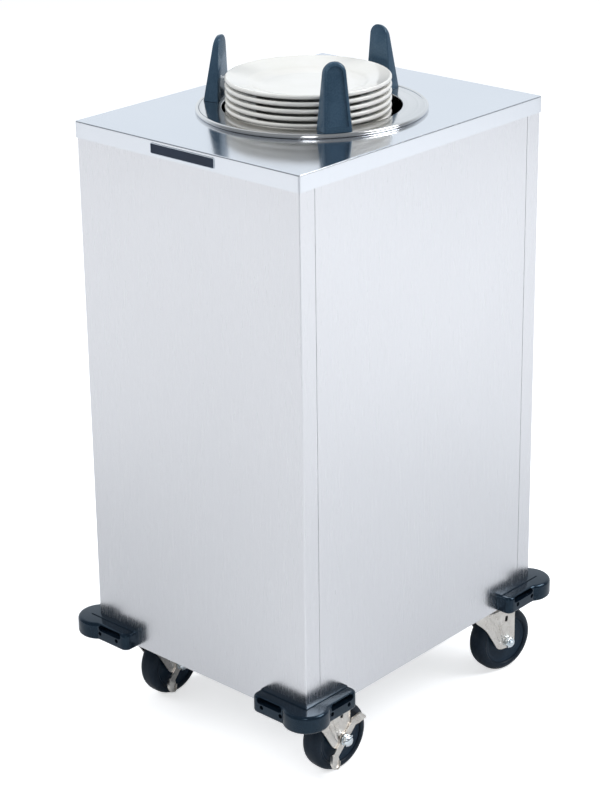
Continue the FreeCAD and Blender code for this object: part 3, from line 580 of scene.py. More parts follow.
# ------------------------------------------------------------------------------------------ cabinet
@dataclass
class Cabinet:
    """The lid, the sheets of the cabinet and everything fixed inside it."""

    lid_half_x: float = 206.5
    lid_half_y: float = 255.5
    lid_top: float = 908.0
    flange_height: float = 23.5
    sheet: float = 1.5
    corner: float = 3.0
    edge: float = 1.5
    flat_row: float = 1.0
    hole: float = 152.0
    seam_half: float = 0.4
    seam_depth: float = 1.1
    seam_top: float = 1.7
    plate_half_x: float = 59.0
    plate_half_z: float = 7.5
    plate_corner: float = 2.5
    plate_thickness: float = 0.8
    plate_border: float = 1.0
    plate_sunk: float = 0.25

    def build(self, nodes: dict[str, bpy.types.Object]) -> None:
        """Makes the lid and the name plate and dresses the CAD sheets.

        Args:
            nodes: CAD nodes by name.
        """
        self._lid()
        self._name_plate()
        faces = ("front_panel", "rear_panel", "left_side_panel", "right_side_panel")
        inside = ("base_pan", "front_caster_channel", "rear_caster_channel", "corner_posts",
                  "left_lid_stiffener", "right_lid_stiffener")
        for name in faces:
            dress(nodes[name], FACE_SHEET)
        for name in inside:
            dress(nodes[name], INNER_SHEET)
        LOG.info("dressed %d sheets of the cabinet", len(faces) + len(inside))

    def _lid(self) -> None:
        """Makes the lid: a sheet that runs from its round hole to its edge and down its four sides.

        Its rows go from the hole's lower edge out under the lid, down inside the flange, round the
        flange's foot, up outside, over the rolled edge and back to the hole. A row close to each end
        of the rolled edge keeps the flat faces flat in the shading. The grain follows the sheet as if
        it were unfolded flat. A narrow seam runs down each corner of the flange.
        """
        outline, away = rounded_rectangle(self.lid_half_x, self.lid_half_y, self.corner, 8, 40)
        angle = np.arctan2(outline[:, 1], outline[:, 0])
        circle = self.hole * around(angle)
        foot, under = self.lid_top - self.flange_height, self.lid_top - self.sheet
        turn = np.linspace(0.0, math.pi / 2, 6)
        roll = np.stack([self.edge - self.edge * np.cos(turn),
                         self.lid_top - self.edge + self.edge * np.sin(turn)], 1)
        profile = np.vstack([[self.sheet, under], [self.sheet, foot], [0.0, foot],
                             [0.0, self.lid_top - self.edge - self.flat_row], roll,
                             [self.edge + self.flat_row, self.lid_top]])
        drop = self.lid_top - profile[:, 1] - profile[:, 0]
        drop[:2] = 0.0, self.flange_height
        sides = rolled(outline, away, profile)
        rings = np.concatenate([circle, np.full((len(circle), 1), self.lid_top)], 1)
        lower = rings - (0.0, 0.0, self.sheet)
        points = np.concatenate([lower[None], sides, rings[None]])
        flat = outline[None] + drop[:, None, None] * away[None]
        flat = np.concatenate([circle[None], flat, circle[None]]) * METRES
        lid = Shape().grid(points, close_rows=True, unfolded=flat).make("lid_sheet")
        deep, out, half = self.corner - self.seam_depth, self.corner + OVERCUT, self.seam_half
        seam = np.array([[deep, -half], [out, -half], [out, half], [deep, half]])
        block = prism(seam, foot - OVERCUT, self.lid_top - self.seam_top)
        tools = Shape()
        for step, (side_x, side_y) in enumerate(((1, 1), (-1, 1), (-1, -1), (1, -1))):
            placed = turned_and_moved(block, 45.0 + 90.0 * step,
                                      side_x * (self.lid_half_x - self.corner),
                                      side_y * (self.lid_half_y - self.corner))
            tools.solid(placed)
        cut(lid, tools)
        mount(lid, LID_SHEET_BLUE_REFLECTION, "cabinet", ("top_lid",))

    def _name_plate(self) -> None:
        """Makes a bare plate on the lid's front flange, with a thin raised border."""
        middle = self.lid_top - self.flange_height / 2
        outline, away = rounded_rectangle(self.plate_half_x, self.plate_half_z, self.plate_corner)
        front = self.plate_thickness
        low = front - self.plate_sunk
        border = np.array([[0.0, 0.0], [0.0, front - 0.15], [0.15, front], [self.plate_border, front],
                           [self.plate_border, 0.0]])
        panel = np.array([[self.plate_border, 0.0], [self.plate_border, low]])
        for name, profile, finish, closed in (("name_plate_border", border, PLATE_BORDER, True),
                                              ("name_plate_face", panel, PLATE_NAVY, False)):
            level = rolled(outline, away, profile)
            points = [level[..., 0], -self.lid_half_y - level[..., 2], level[..., 1] + middle]
            points = np.stack(points, -1)
            shape = Shape().grid(points, close_rows=closed, cap_first=not closed, cap_last=not closed)
            mount(shape.make(name), finish, "cabinet", ("name_plate",))


# ------------------------------------------------------------------------------------------ dispenser
@dataclass
class Dispenser:
    """The spun ring on the lid, the frame under it, the carrier and its springs."""

    lid_top: float = 908.0
    hole: float = 125.5
    outer: float = 162.0
    bead: float = 3.1
    sheet: float = 1.2
    face_height: float = 4.8
    brink: float = 1.1
    skirt: float = 14.0
    slot_circle: float = 144.0
    slot_travel: float = 8.5
    slot_half: float = 3.25
    slot_depth: float = 3.0
    first_guide: float = -35.0
    first_rod: float = 25.0
    rod_circle: float = 138.0
    spring_offsets: tuple[float, ...] = (-15.5, -9.5, 9.5, 15.5)
    spring_radius: float = 5.5
    spring_wire: float = 0.75
    spring_turns: int = 44
    spring_low: float = 786.3
    spring_high: float = 908.3

    def build(self, nodes: dict[str, bpy.types.Object]) -> None:
        """Makes the ring and the springs and dresses the CAD pieces under them.

        Args:
            nodes: CAD nodes by name.
        """
        self._ring()
        self._springs()
        dull = ("dispenser_frame_ring", "dispenser_bottom_ring", "carrier_plate", "carrier_column",
                "carrier_spider")
        bright = ("guide_rods", "rod_nuts", "rod_top_collars", "carrier_clips")
        for names, finish in ((dull, FRAME_STEEL), (bright, BRIGHT_STEEL),
                              (("rod_stop_cushions",), KNOB), (("carrier_bushes",), BUSH)):
            for name in names:
                dress(nodes[name], finish)
        LOG.info("dressed the pieces under the ring")

    def _ring(self) -> None:
        """Makes the ring as one spun sheet with three slots.

        The sheet runs from the edge that is curled under its bead, over the flat face and the rolled
        brink to the foot of the skirt.
        """
        centre, top = self.outer - self.bead, self.lid_top + self.face_height
        crown = self.lid_top + self.bead
        meet = math.acos(-math.sqrt(self.bead ** 2 - (top - crown) ** 2) / self.bead)
        over = np.linspace(-math.pi / 2, meet, 27)
        back = over[::-1]
        inner = self.bead - self.sheet
        outside = self.bead * around(over) + (centre, crown)
        inside = inner * around(back) + (centre, crown)
        face_end = outside[-1, 0] - 1.2
        brink = softened(np.array([[face_end, top], [self.hole, top], [self.hole, top - 6.0]]),
                         [0, self.brink, 0], 6)
        foot = self.lid_top - self.skirt
        skirt = np.array([[self.hole, foot], [self.hole + self.sheet, foot],
                          [self.hole + self.sheet, top - self.sheet], [face_end, top - self.sheet]])
        profile = np.vstack([outside, brink, skirt, inside])
        ring = Shape().grid(revolved(profile, 192), close_rows=True).make("dispenser_ring")
        slots = Shape()
        ends = np.linspace(-math.pi / 2, math.pi / 2, 9)
        half = self.slot_half * around(ends)
        outline = np.vstack([half + (self.slot_circle, 0.0),
                             (self.slot_circle - self.slot_travel, 0.0) - half])
        tool = prism(outline, top - self.slot_depth, top + OVERCUT)
        for step in range(3):
            slots.solid(turned_and_moved(tool, self.first_guide + 120.0 * step))
        cut(ring, slots)
        mount(ring, SPUN_RING, "cabinet", ("dispenser_flange",))

    def _springs(self) -> None:
        """Makes twelve coils that stretch between the ring's studs and the carrier's.

        A coil's centre line is (R cos a, R sin a, z) with z rising evenly with a, and its wire is a
        circle of the wire's radius across that line.
        """
        shape = Shape()
        angle = np.linspace(0.0, 2 * math.pi * self.spring_turns, self.spring_turns * 14 + 1)
        reach = self.spring_radius - self.spring_wire
        rise = np.linspace(self.spring_low + self.spring_wire, self.spring_high - self.spring_wire,
                           len(angle))
        wire = self.spring_wire * around(full_turn(6))
        coil = spun(reach + wire[:, 0], rise[:, None] + wire[:, 1], angle[:, None])
        for rod in range(3):
            for offset in self.spring_offsets:
                turn = math.radians(self.first_rod + 120.0 * rod + offset)
                placed = turned_and_moved(coil, 0.0, self.rod_circle * math.cos(turn),
                                          self.rod_circle * math.sin(turn))
                shape.solid(placed)
        springs = shape.make("lift_spring_coils", 60.0)
        dress(springs, BRIGHT_STEEL)
        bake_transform(springs)
        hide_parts("lift_springs")
        LOG.info("lift_spring_coils stretch between cabinet and carrier")


# ------------------------------------------------------------------------------------------ plates
@dataclass
class Plates:
    """Six dinner plates, each standing in the well of the next."""

    radius: float = 115.8
    height: float = 24.0
    pitch: float = 10.0
    foot: float = 71.0
    foot_width: float = 5.0
    rim: float = 6.4
    top_rim: float = 956.0
    offset_x: float = -3.4
    offset_y: float = -3.4
    count: int = 6

    def build(self) -> None:
        """Makes the top plate on its own body and the other five on theirs."""
        profile = self._profile()
        for step in range(self.count):
            points = turned_and_moved(revolved(profile, 144), 0.0, self.offset_x, self.offset_y,
                                      self.top_rim - step * self.pitch)
            plate = Shape().grid(points).make("dinner_plate_%d" % (step + 1), 50.0)
            if step:
                mount(plate, GLAZE, "plates", ("plate_stack",))
            else:
                mount(plate, GLAZE, "top_plate", ("top_plate",))

    def _profile(self) -> Array:
        """Draws half a plate's section, from the middle of its well round its rim to its underside.

        Returns:
            Radius and height of each point, with the rim's top at height 0.
        """
        well, under = self.pitch - self.height, self.rim - self.height
        edge = self.radius - self.rim
        corners = np.array([
            [0.0, well], [self.foot - 3.0, well], [self.foot + 8.0, well + 3.4],
            [self.foot + 13.0, -7.8], [edge, -1.2], [self.radius - 1.8, 0.0], [self.radius, -1.8],
            [self.radius, -4.6], [self.radius - 2.2, -self.rim], [edge - 2.0, -self.rim - 0.9],
            [self.foot + 10.0, under + 1.4], [self.foot + 0.5, under], [self.foot, -self.height + 1.2],
            [self.foot - 1.2, -self.height], [self.foot - self.foot_width + 1.2, -self.height],
            [self.foot - self.foot_width, -self.height + 1.2], [self.foot - self.foot_width, under],
            [0.0, under]])
        setbacks = [0, 9, 5, 5, 6, 1.6, 1.2, 1.2, 1.6, 5, 6, 1.5, 1, 1, 1, 1, 1.5, 0]
        return softened(corners, setbacks, 6)


# ------------------------------------------------------------------------------------------ guides
@dataclass
class GuidePosts:
    """Three tapering plastic posts, hollowed on their outer faces."""

    inner: float = 129.5
    base: float = 913.1
    height: float = 92.0
    base_half: float = 25.0
    arch: float = 17.0
    base_depth: float = 23.4
    top_depth: float = 7.0
    slope: float = 0.26
    recess: float = 2.2
    margin: float = 4.0
    recess_base: float = 7.0
    edge: float = 1.9
    first_angle: float = -35.0

    def build(self, nodes: dict[str, bpy.types.Object]) -> None:
        """Makes the posts and dresses the knobs below them.

        Args:
            nodes: CAD nodes by name.
        """
        points = self._post()
        for step in range(3):
            turned = turned_and_moved(points, self.first_angle + 120.0 * step, 0.0, 0.0, self.base)
            number = str(step + 1)
            post = Shape().solid(turned).make("guide_" + number, 40.0)
            mount(post, GUIDE, "guide_" + number, ("guide_post_" + number,))
            dress(nodes["guide_lock_" + number], KNOB)

    def _outline(self, inset: float, floor: float) -> Array:
        """Draws the post's face: two leaning sides under an arch that they touch smoothly.

        The arch is a circle about (0, H - r). A side is the line from the base corner that touches
        it, and an inset moves both inwards by the same distance.

        Args:
            inset: distance inside the full outline.
            floor: height of the lower edge.

        Returns:
            Across and up of each point, round the outline.
        """
        centre = self.height - self.arch
        far = math.hypot(self.base_half, centre)
        lean = math.atan2(-centre, self.base_half) + math.acos(self.arch / far)
        radius = self.arch - inset
        touch = radius * around(lean) + (0.0, centre)
        along = np.array([math.sin(lean), -math.cos(lean)])
        start = touch + along * (touch[1] - floor) / math.cos(lean)
        t = np.linspace(0.0, 1.0, 9)[:-1, None]
        side = start * (1 - t) + touch * t
        angle = np.linspace(lean, math.pi - lean, 33)
        crown = radius * around(angle) + (0.0, centre)
        other = (side * (-1, 1))[::-1]
        foot = np.linspace(other[-1], start, 9)[1:-1]
        return np.vstack([side, crown, other, foot])

    def _post(self) -> Array:
        """Works out the post on the +X side, its base at height 0.

        Its rows are outlines between the inner face, at share 0 of the depth, and the outer face, at
        share 1. The depth falls evenly with height, the sides draw in by the slope times the depth,
        and the last rows step down into the hollow.

        Returns:
            A grid of points, one row for each outline.
        """
        turn = np.linspace(0.0, math.pi / 2, 5)
        e = self.edge
        rows = [(e - e * math.sin(a), 0.0, e * (1 - math.cos(a)), 0.0) for a in turn]
        rows += [(e * (1 - math.cos(a)), 1.0, -e * (1 - math.sin(a)), 0.0) for a in turn]
        rows += [(self.margin - 0.5, 1.0, 0.0, self.recess_base),
                 (self.margin, 1.0, -0.5, self.recess_base),
                 (self.margin + 0.3, 1.0, 0.6 - self.recess, self.recess_base),
                 (self.margin + 0.9, 1.0, -self.recess, self.recess_base + 0.6)]
        made = []
        for inset, share, step, floor in rows:
            rough = self._outline(inset, floor)
            depth = self.base_depth + (self.top_depth - self.base_depth) * rough[:, 1] / self.height
            reach = share * depth + step
            drawn = self._drawn_in(inset, floor, reach)
            depth = self.base_depth + (self.top_depth - self.base_depth) * drawn[:, 1] / self.height
            made.append(np.stack([self.inner + share * depth + step, drawn[:, 0], drawn[:, 1]], 1))
        return np.stack(made)

    def _drawn_in(self, inset: float, floor: float, reach: Array) -> Array:
        """Gives an outline whose every point is drawn in by its own depth times the slope.

        Args:
            inset: inset of the row.
            floor: height of its lower edge.
            reach: depth of each point behind the inner face.

        Returns:
            Across and up of each point.
        """
        outline = self._outline(inset, floor)
        nearer = self._outline(inset + 1.0, floor)
        return outline + (nearer - outline) * (self.slope * reach)[:, None]


# ------------------------------------------------------------------------------------------ bumpers
class Corner(Enum):
    """The corners of the cabinet: the turn from the rear right one, and the sides of X and Y."""

    REAR_RIGHT = (0.0, 1, 1)
    REAR_LEFT = (90.0, -1, 1)
    FRONT_LEFT = (180.0, -1, -1)
    FRONT_RIGHT = (270.0, 1, -1)


@dataclass
class Bumpers:
    """Four moulded bumpers round the lower corners."""

    panel_x: float = 204.6
    panel_y: float = 253.6
    low: float = 128.0
    height: float = 27.5
    arm: float = 80.0
    thick: float = 25.5
    lobe: float = 33.0
    end_radius: float = 10.5
    low_edge: float = 3.6
    top_edge: float = 5.2
    lip: float = 9.0
    lip_rise: float = 1.3
    lip_end: float = 77.5
    lip_corner: float = 3.0
    screw_places: tuple[float, float] = (25.0, 60.0)
    screw_height: float = 11.5
    pocket: float = 3.25
    seat: float = 8.0
    slot_height: float = 9.0
    slot_depth: float = 15.0
    slot_top: float = 2.5
    slot_start: float = 69.0
    slot_end: float = 22.9

    def build(self, nodes: dict[str, bpy.types.Object]) -> None:
        """Makes the four bumpers and dresses their screws.

        Args:
            nodes: CAD nodes by name.
        """
        for corner in Corner:
            name = corner.name.lower()
            turn, side_x, side_y = corner.value
            place = (turn, side_x * self.panel_x, side_y * self.panel_y)
            body = Shape().solid(turned_and_moved(self._body(), *place))
            piece = body.make("bumper_pad_" + name, 30.0)
            tools = Shape()
            for tool in self._tools():
                tools.solid(turned_and_moved(tool, *place))
            cut(piece, tools, 30.0)
            mount(piece, BUMPER, "cabinet", ("bumper_" + name,))
            lip = Shape().solid(turned_and_moved(self._lip(), *place))
            mount(lip.make("bumper_lip_" + name, 30.0), BUMPER, "cabinet", ("bumper_" + name,))
        dress(nodes["bumper_screws"], KNOB)

    def _outline(self) -> tuple[Array, Array]:
        """Draws the bumper in plan: two arms with round ends that run into a round lobe.

        Returns:
            The points and their outward directions, which are zero along the panels.
        """
        t, n, r = self.thick, self.arm, self.end_radius
        away_end = around(np.linspace(math.pi, math.pi / 2, 9))
        end = np.array([-n + r, t - r]) + r * away_end
        meet = math.acos(-math.sqrt(self.lobe ** 2 - t ** 2) / self.lobe)
        away_lobe = around(np.linspace(meet, math.pi / 2 - meet, 41))
        lobe = self.lobe * away_lobe
        along = np.linspace(end[-1], lobe[0], 8)[1:-1]
        away_along = np.broadcast_to([0.0, 1.0], along.shape)
        half_points = np.vstack([[[-n, 0.0]], end, along])
        half_away = np.vstack([[[-1.0, 0.0]], away_end, away_along])
        mirrored = half_points[::-1, ::-1], half_away[::-1, ::-1]
        points = np.vstack([half_points, lobe, mirrored[0], [[0.0, 0.0]]])
        away = np.vstack([half_away, away_lobe, mirrored[1], [[0.0, 0.0]]])
        return points, away

    def _body(self) -> Array:
        """Carries the rolled edge round the outline, up to the foot of the lip.

        Returns:
            A grid of points round the rear right corner, which is at X 0, Y 0.
        """
        outline, away = self._outline()
        top = self.low + self.height - self.lip_rise
        return rolled(outline, away, edge_roll(self.low, top, self.low_edge, self.top_edge))

    def _lip(self) -> Array:
        """Carries a small rolled edge round the raised strip that lies against both panels.

        Returns:
            A grid of points round the rear right corner, which is at X 0, Y 0.
        """
        r, end, wide = self.lip_corner, self.lip_end, self.lip
        away_end = around(np.linspace(math.pi, math.pi / 2, 6))
        arc = np.array([-end + r, wide - r]) + r * away_end
        half_points = np.vstack([[[-end, 0.0]], arc])
        half_away = np.vstack([[[-1.0, 0.0]], away_end])
        points = np.vstack([half_points, [[wide, wide]], half_points[::-1, ::-1], [[0.0, 0.0]]])
        away = np.vstack([half_away, [[1.0, 1.0]], half_away[::-1, ::-1], [[0.0, 0.0]]])
        top = self.low + self.height
        return rolled(points, away, edge_roll(top - 3.0, top, 0.1, 1.0, 5))

    def _tools(self) -> list[Array]:
        """Draws the slots and the screw pockets of both arms.

        Returns:
            One closed grid for each hollow.
        """
        top = self.low + self.height - self.slot_top
        middle, half = top - self.slot_height / 2, self.slot_height / 2
        turn = half * around(np.linspace(-math.pi / 2, math.pi / 2, 7))
        slot = np.vstack([turn + (-self.slot_end - half, middle),
                          (half - self.slot_start, middle) - turn])
        round_hole = self.pocket * around(full_turn(24))
        hollows = [(slot, self.thick - self.slot_depth)]
        for place in self.screw_places:
            hollows.append((round_hole + (-place, self.low + self.screw_height), self.seat))
        tools = []
        for outline, start in hollows:
            level = prism(outline, start, self.thick + OVERCUT)
            tools += [level[..., [0, 2, 1]], level[..., [2, 0, 1]]]
        return tools


# ------------------------------------------------------------------------------------------ casters
@dataclass(frozen=True)
class CasterPlace:
    """Where a caster stands, how far it has swivelled and whether it has a brake."""

    name: str
    side_x: int
    side_y: int
    swivel: float
    braked: bool


CASTERS = (
    CasterPlace("front_right", 1, -1, -4.5, True),
    CasterPlace("front_left", -1, -1, 0.0, True),
    CasterPlace("rear_left", -1, 1, -6.0, False),
    CasterPlace("rear_right", 1, 1, -12.0, False),
)


@dataclass(frozen=True)
class LeverEnd:
    """One end of a brake lever: how long and wide its pad is, how round, and what is raised on it."""

    length: float
    half: float
    nose: float
    rim: float
    rib: float


UPPER_END = LeverEnd(17.0, 8.8, 2.4, 0.5, 0.7)
LOWER_END = LeverEnd(18.0, 10.0, 9.4, 2.3, 0.0)


@dataclass
class Casters:
    """Four swivel casters, two of them with brake levers."""

    place_x: float = 163.5
    place_y: float = 191.0
    trail: float = 37.0
    wheel: float = 51.0
    axle: float = 4.0
    wheel_half: float = 16.0
    tyre_inner: float = 38.0
    web_half: float = 13.0
    hub: float = 13.0
    hub_half: float = 17.7
    bore: float = 4.85
    fork_top: float = 118.0
    fork_sheet: float = 3.5
    disc: float = 34.0
    kingpin: float = 7.06
    slab_half_x: float = 16.7
    slab_half_y: float = 21.5
    slab_corner: float = 6.0
    slab_middle: float = 28.5
    leg_inner: float = 18.0
    leg_outer: float = 20.5
    leg_front: float = -28.0
    leg_rear: float = 50.0
    leg_front_low: float = 102.0
    leg_waist: tuple[float, float] = (-7.0, 84.0)
    leg_foot_front: float = 18.0
    leg_foot: float = 41.0
    leg_corner: float = 7.0
    window: tuple[tuple[float, float], ...] = ((30.2, 87.0), (35.2, 86.0), (36.2, 95.0), (31.2, 96.0))
    folds: tuple[float, float] = (0.31, 0.48)
    fold_width: float = 0.04
    fold_depth: float = 1.7
    bend: float = 4.0
    sleeve: float = 4.8
    head_across: float = 13.0
    head_height: float = 5.5
    nut_across: float = 15.0
    nut_height: float = 7.0
    brake_seat: float = 24.1
    brake_sleeve: float = 6.0
    lever_inner: float = 20.8
    lever_thick: float = 3.0
    lever_angle: float = 48.0
    lever_bend: float = 30.0
    lever_straight: float = 29.0
    lever_bar_half: float = 5.6
    lever_hub: float = 10.0

    def build(self, nodes: dict[str, bpy.types.Object]) -> None:
        """Makes every caster and dresses the CAD plates and fasteners.

        Args:
            nodes: CAD nodes by name.
        """
        dress(nodes["caster_top_plates"], ZINC)
        dress(nodes["caster_bolts"], BRIGHT_STEEL)
        dress(nodes["caster_nuts"], BRIGHT_STEEL)
        for place in CASTERS:
            self._wheel(place)
            self._fork(place)
            self._axle(place)
            if place.braked:
                self._lever(place)

    def _placed(self, points: Array, place: CasterPlace) -> Array:
        """Moves points drawn round the swivel axis to their caster."""
        return turned_and_moved(points, place.swivel, place.side_x * self.place_x,
                                place.side_y * self.place_y)

    def _on_axle(self, points: Array, place: CasterPlace) -> Array:
        """Lays points drawn round the Z axis on a caster's axle, so that +Z points along +X."""
        laid = [points[..., 2], points[..., 1] + self.trail, self.wheel - points[..., 0]]
        return self._placed(np.stack(laid, -1), place)

    def _wheel(self, place: CasterPlace) -> None:
        """Makes a tyre with round shoulders and a dished core with its hub.

        Args:
            place: caster that the wheel belongs to.
        """
        w, half = self.wheel, self.wheel_half
        inner, hub = self.tyre_inner, self.hub
        tyre = both_ways([[inner, 1.6 - half], [inner + 1.5, -half], [w - 8.0, -half],
                          [w - 2.2, 3.0 - half], [w, 9.0 - half]], [0, 1, 4, 3, 4], 6)
        core = both_ways([[self.bore, -self.hub_half], [hub - 1.5, -self.hub_half],
                          [hub, 1.5 - self.hub_half], [hub + 1.0, 1.0 - self.web_half],
                          [inner - 6.0, 1.0 - self.web_half], [inner - 3.0, -self.web_half],
                          [inner, -self.web_half]], [0, 1, 1, 1, 2, 1, 0], 4)
        for kind, profile, finish in (("tyre_", tyre, TREAD), ("core_", core, WHEEL_CORE)):
            points = self._on_axle(revolved(profile, 120), place)
            piece = Shape().grid(points, close_rows=True).make(kind + place.name, 40.0)
            mount(piece, finish, "wheel_" + place.name, ("wheel_" + kind + place.name,))

    def _leg(self, side: int) -> Array:
        """Works out one leg of the fork as a bent sheet.

        Across the leg, s runs from its front edge to its rear edge, and down it t runs from the bend
        under the fork's top to the foot. The front edge is a curve that leans back towards the axle,
        and two shallow folds run down the outside, each a bump 1 / (1 + ((s - m) / w)^6).

        Args:
            side: 1 for the leg on +X, -1 for the other.

        Returns:
            A closed grid: outer sheet rows, then inner sheet rows.
        """
        top = self.fork_top
        t = np.linspace(0.0, 1.0, 41)[:, None]
        s = np.linspace(0.0, 1.0, 61)[None, :]
        z = top - self.bend - t * (top - self.bend - self.leg_foot)
        bow = softened([[self.leg_front, top - self.bend], [self.leg_front, self.leg_front_low],
                        self.leg_waist, [self.leg_foot_front, self.leg_foot]], [0, 10, 16, 0], 14)
        front = np.interp(-z, -bow[:, 1], bow[:, 0])
        low = np.clip(self.leg_corner - (z - self.leg_foot), 0.0, self.leg_corner)
        tuck = self.leg_corner - np.sqrt(np.maximum(self.leg_corner ** 2 - low ** 2, 0.0))
        y = (front + tuck) * (1 - s) + (self.leg_rear - tuck) * s
        fade = np.clip((t - 0.04) / 0.1, 0.0, 1.0) * np.clip((0.86 - t) / 0.1, 0.0, 1.0)
        fold = fade * sum(1 / (1 + ((s - middle) / self.fold_width) ** 6) for middle in self.folds)
        turn = np.linspace(math.pi / 2, 0.0, 7)[:-1, None]
        sides = []
        for face, depth in ((self.leg_outer, self.fold_depth), (self.leg_inner, 0.25)):
            radius = self.bend - (self.leg_outer - face)
            bend = (self.leg_outer - self.bend + radius * np.cos(turn), y[:1],
                    top - self.bend + radius * np.sin(turn))
            sheets = [np.stack(np.broadcast_arrays(*sheet, s)[:3], -1)
                      for sheet in (bend, (face - depth * fold, y, z))]
            sides.append(np.concatenate(sheets))
        return np.concatenate([sides[0], sides[1][::-1]]) * (side, 1, 1)

    def _fork(self, place: CasterPlace) -> None:
        """Makes the pressed fork: a round top with two legs, a window in each and a bore for the axle.

        Args:
            place: caster that the fork belongs to.
        """
        shape = Shape()
        low, top, chamfer = self.fork_top - self.fork_sheet, self.fork_top, 1.2
        disc = softened(np.array([[self.kingpin, low], [self.disc - chamfer, low],
                                  [self.disc, low + chamfer], [self.disc, top - chamfer],
                                  [self.disc - chamfer, top], [self.kingpin, top]]),
                        [0, 0.8, 0.8, 0.8, 0.8, 0], 4)
        shape.grid(self._placed(revolved(disc, 96), place), close_rows=True)
        outline, away = rounded_rectangle(self.slab_half_x, self.slab_half_y, self.slab_corner)
        slab = rolled(outline + (0.0, self.slab_middle), away,
                      np.array([[0.0, top - 2.5], [0.0, top - 0.02]]))
        shape.solid(self._placed(slab, place))
        piece = shape.make("fork_top_" + place.name, 40.0)
        mount(piece, ZINC, "fork_" + place.name, ("caster_fork_" + place.name,))
        for side, word in ((1, "right"), (-1, "left")):
            leg = self._leg(side)
            rows, columns = leg.shape[:2]
            shape = Shape().grid(self._placed(leg, place), close_rows=True, close_columns=False)
            half = rows // 2
            for column in (0, columns - 1):
                wall = np.stack([leg[:half, column], leg[::-1][:half, column]], 1)
                shape.grid(self._placed(wall, place), close_columns=False)
            piece = shape.make("fork_leg_%s_%s" % (word, place.name), 40.0)
            tools = Shape()
            window = softened(np.array(self.window), 0.8, 3, closed=True)
            bore = self.axle * around(full_turn(32)) + (self.trail, self.wheel)
            for hole in (window, bore):
                tool = prism(hole, side * (self.leg_inner - OVERCUT), side * (self.leg_outer + OVERCUT))
                tool = tool[..., [2, 0, 1]]
                tools.solid(self._placed(tool, place))
            cut(piece, tools, 40.0)
            mount(piece, ZINC, "fork_" + place.name, ("caster_fork_" + place.name,))

    def _axle(self, place: CasterPlace) -> None:
        """Makes the axle bolt with its head, and a domed nut where there is a brake or a plain one.

        Args:
            place: caster that the axle belongs to.
        """
        axle, outer, inner = self.axle, self.leg_outer, self.leg_inner
        seat = self.brake_seat if place.braked else outer
        rod = softened(np.array([[0.0, -outer], [axle, -outer], [axle, seat + 8.0],
                                 [3.0, seat + 9.6], [0.0, seat + 9.6]]), [0, 0, 0.4, 0.4, 0], 3)
        rings = [[[axle, -inner], [self.sleeve, -inner], [self.sleeve, inner], [axle, inner]]]
        shape = Shape().grid(self._on_axle(revolved(rod, 32), place))
        if place.braked:
            wide = self.brake_sleeve
            rings.insert(0, [[axle, outer], [wide, outer], [wide, seat], [axle, seat]])
        for ring in rings:
            shape.grid(self._on_axle(revolved(np.array(ring), 48), place), close_rows=True)
        head = self._hexagon(self.head_across, -outer - self.head_height, -outer, False)
        shape.solid(self._on_axle(head, place))
        if place.braked:
            dome = softened(np.array([[0.0, seat + 10.0], [4.5, seat + 10.0], [7.6, seat + 7.4],
                                      [7.6, seat + 4.0]]), [0, 2.5, 2.0, 0], 8)
            shape.grid(self._on_axle(revolved(dome, 48), place), cap_last=True)
            shape.grid(self._on_axle(self._retainer(seat), place), close_rows=True)
        nut = self._hexagon(self.nut_across, seat, seat + self.nut_height, True)
        shape.solid(self._on_axle(nut, place))
        piece = shape.make("axle_" + place.name, 30.0)
        mount(piece, BRIGHT_STEEL, "fork_" + place.name, ("wheel_axle_" + place.name,))

    @staticmethod
    def _retainer(seat: float) -> Array:
        """Works out the flat washer behind the cap, with two tabs.

        Its outer radius at the angle a is 8.6 plus 4.4 / (1 + ((a - m) / 0.17)^6) for each tab's
        angle m.

        Args:
            seat: lower face.

        Returns:
            A grid of points about the Z axis.
        """
        angle = full_turn(144)
        reach = 8.6 + sum(4.4 / (1 + ((angle - math.radians(tab)) / 0.17) ** 6) for tab in (98.0, 28.0))
        radius = np.stack([4.1 + 0 * angle, reach, reach, 4.1 + 0 * angle])
        return spun(radius, np.array([seat, seat, seat + 1.2, seat + 1.2])[:, None], angle)

    @staticmethod
    def _hexagon(across: float, low: float, high: float, both: bool) -> Array:
        """Works out a hexagon head whose corners are turned off at a slope.

        Its radius at the angle a is the smaller of the flat's distance over cos(a) and a limit that
        falls towards the worn ends.

        Args:
            across: distance across the flats.
            low: lower end.
            high: upper end.
            both: whether both ends are turned off, or only the lower one.

        Returns:
            A grid of points about the Z axis.
        """
        angle = full_turn(72)
        flat = across / 2 / np.cos((angle + math.pi / 6) % (math.pi / 3) - math.pi / 6)
        corner = across / math.sqrt(3)
        worn = across / 2 * 0.97
        limits = [worn, corner, corner, worn if both else corner]
        heights = [low, low + 1.0, high - 1.0, high]
        radius = np.minimum(flat[None], np.array(limits)[:, None])
        return spun(radius, np.array(heights)[:, None], angle)

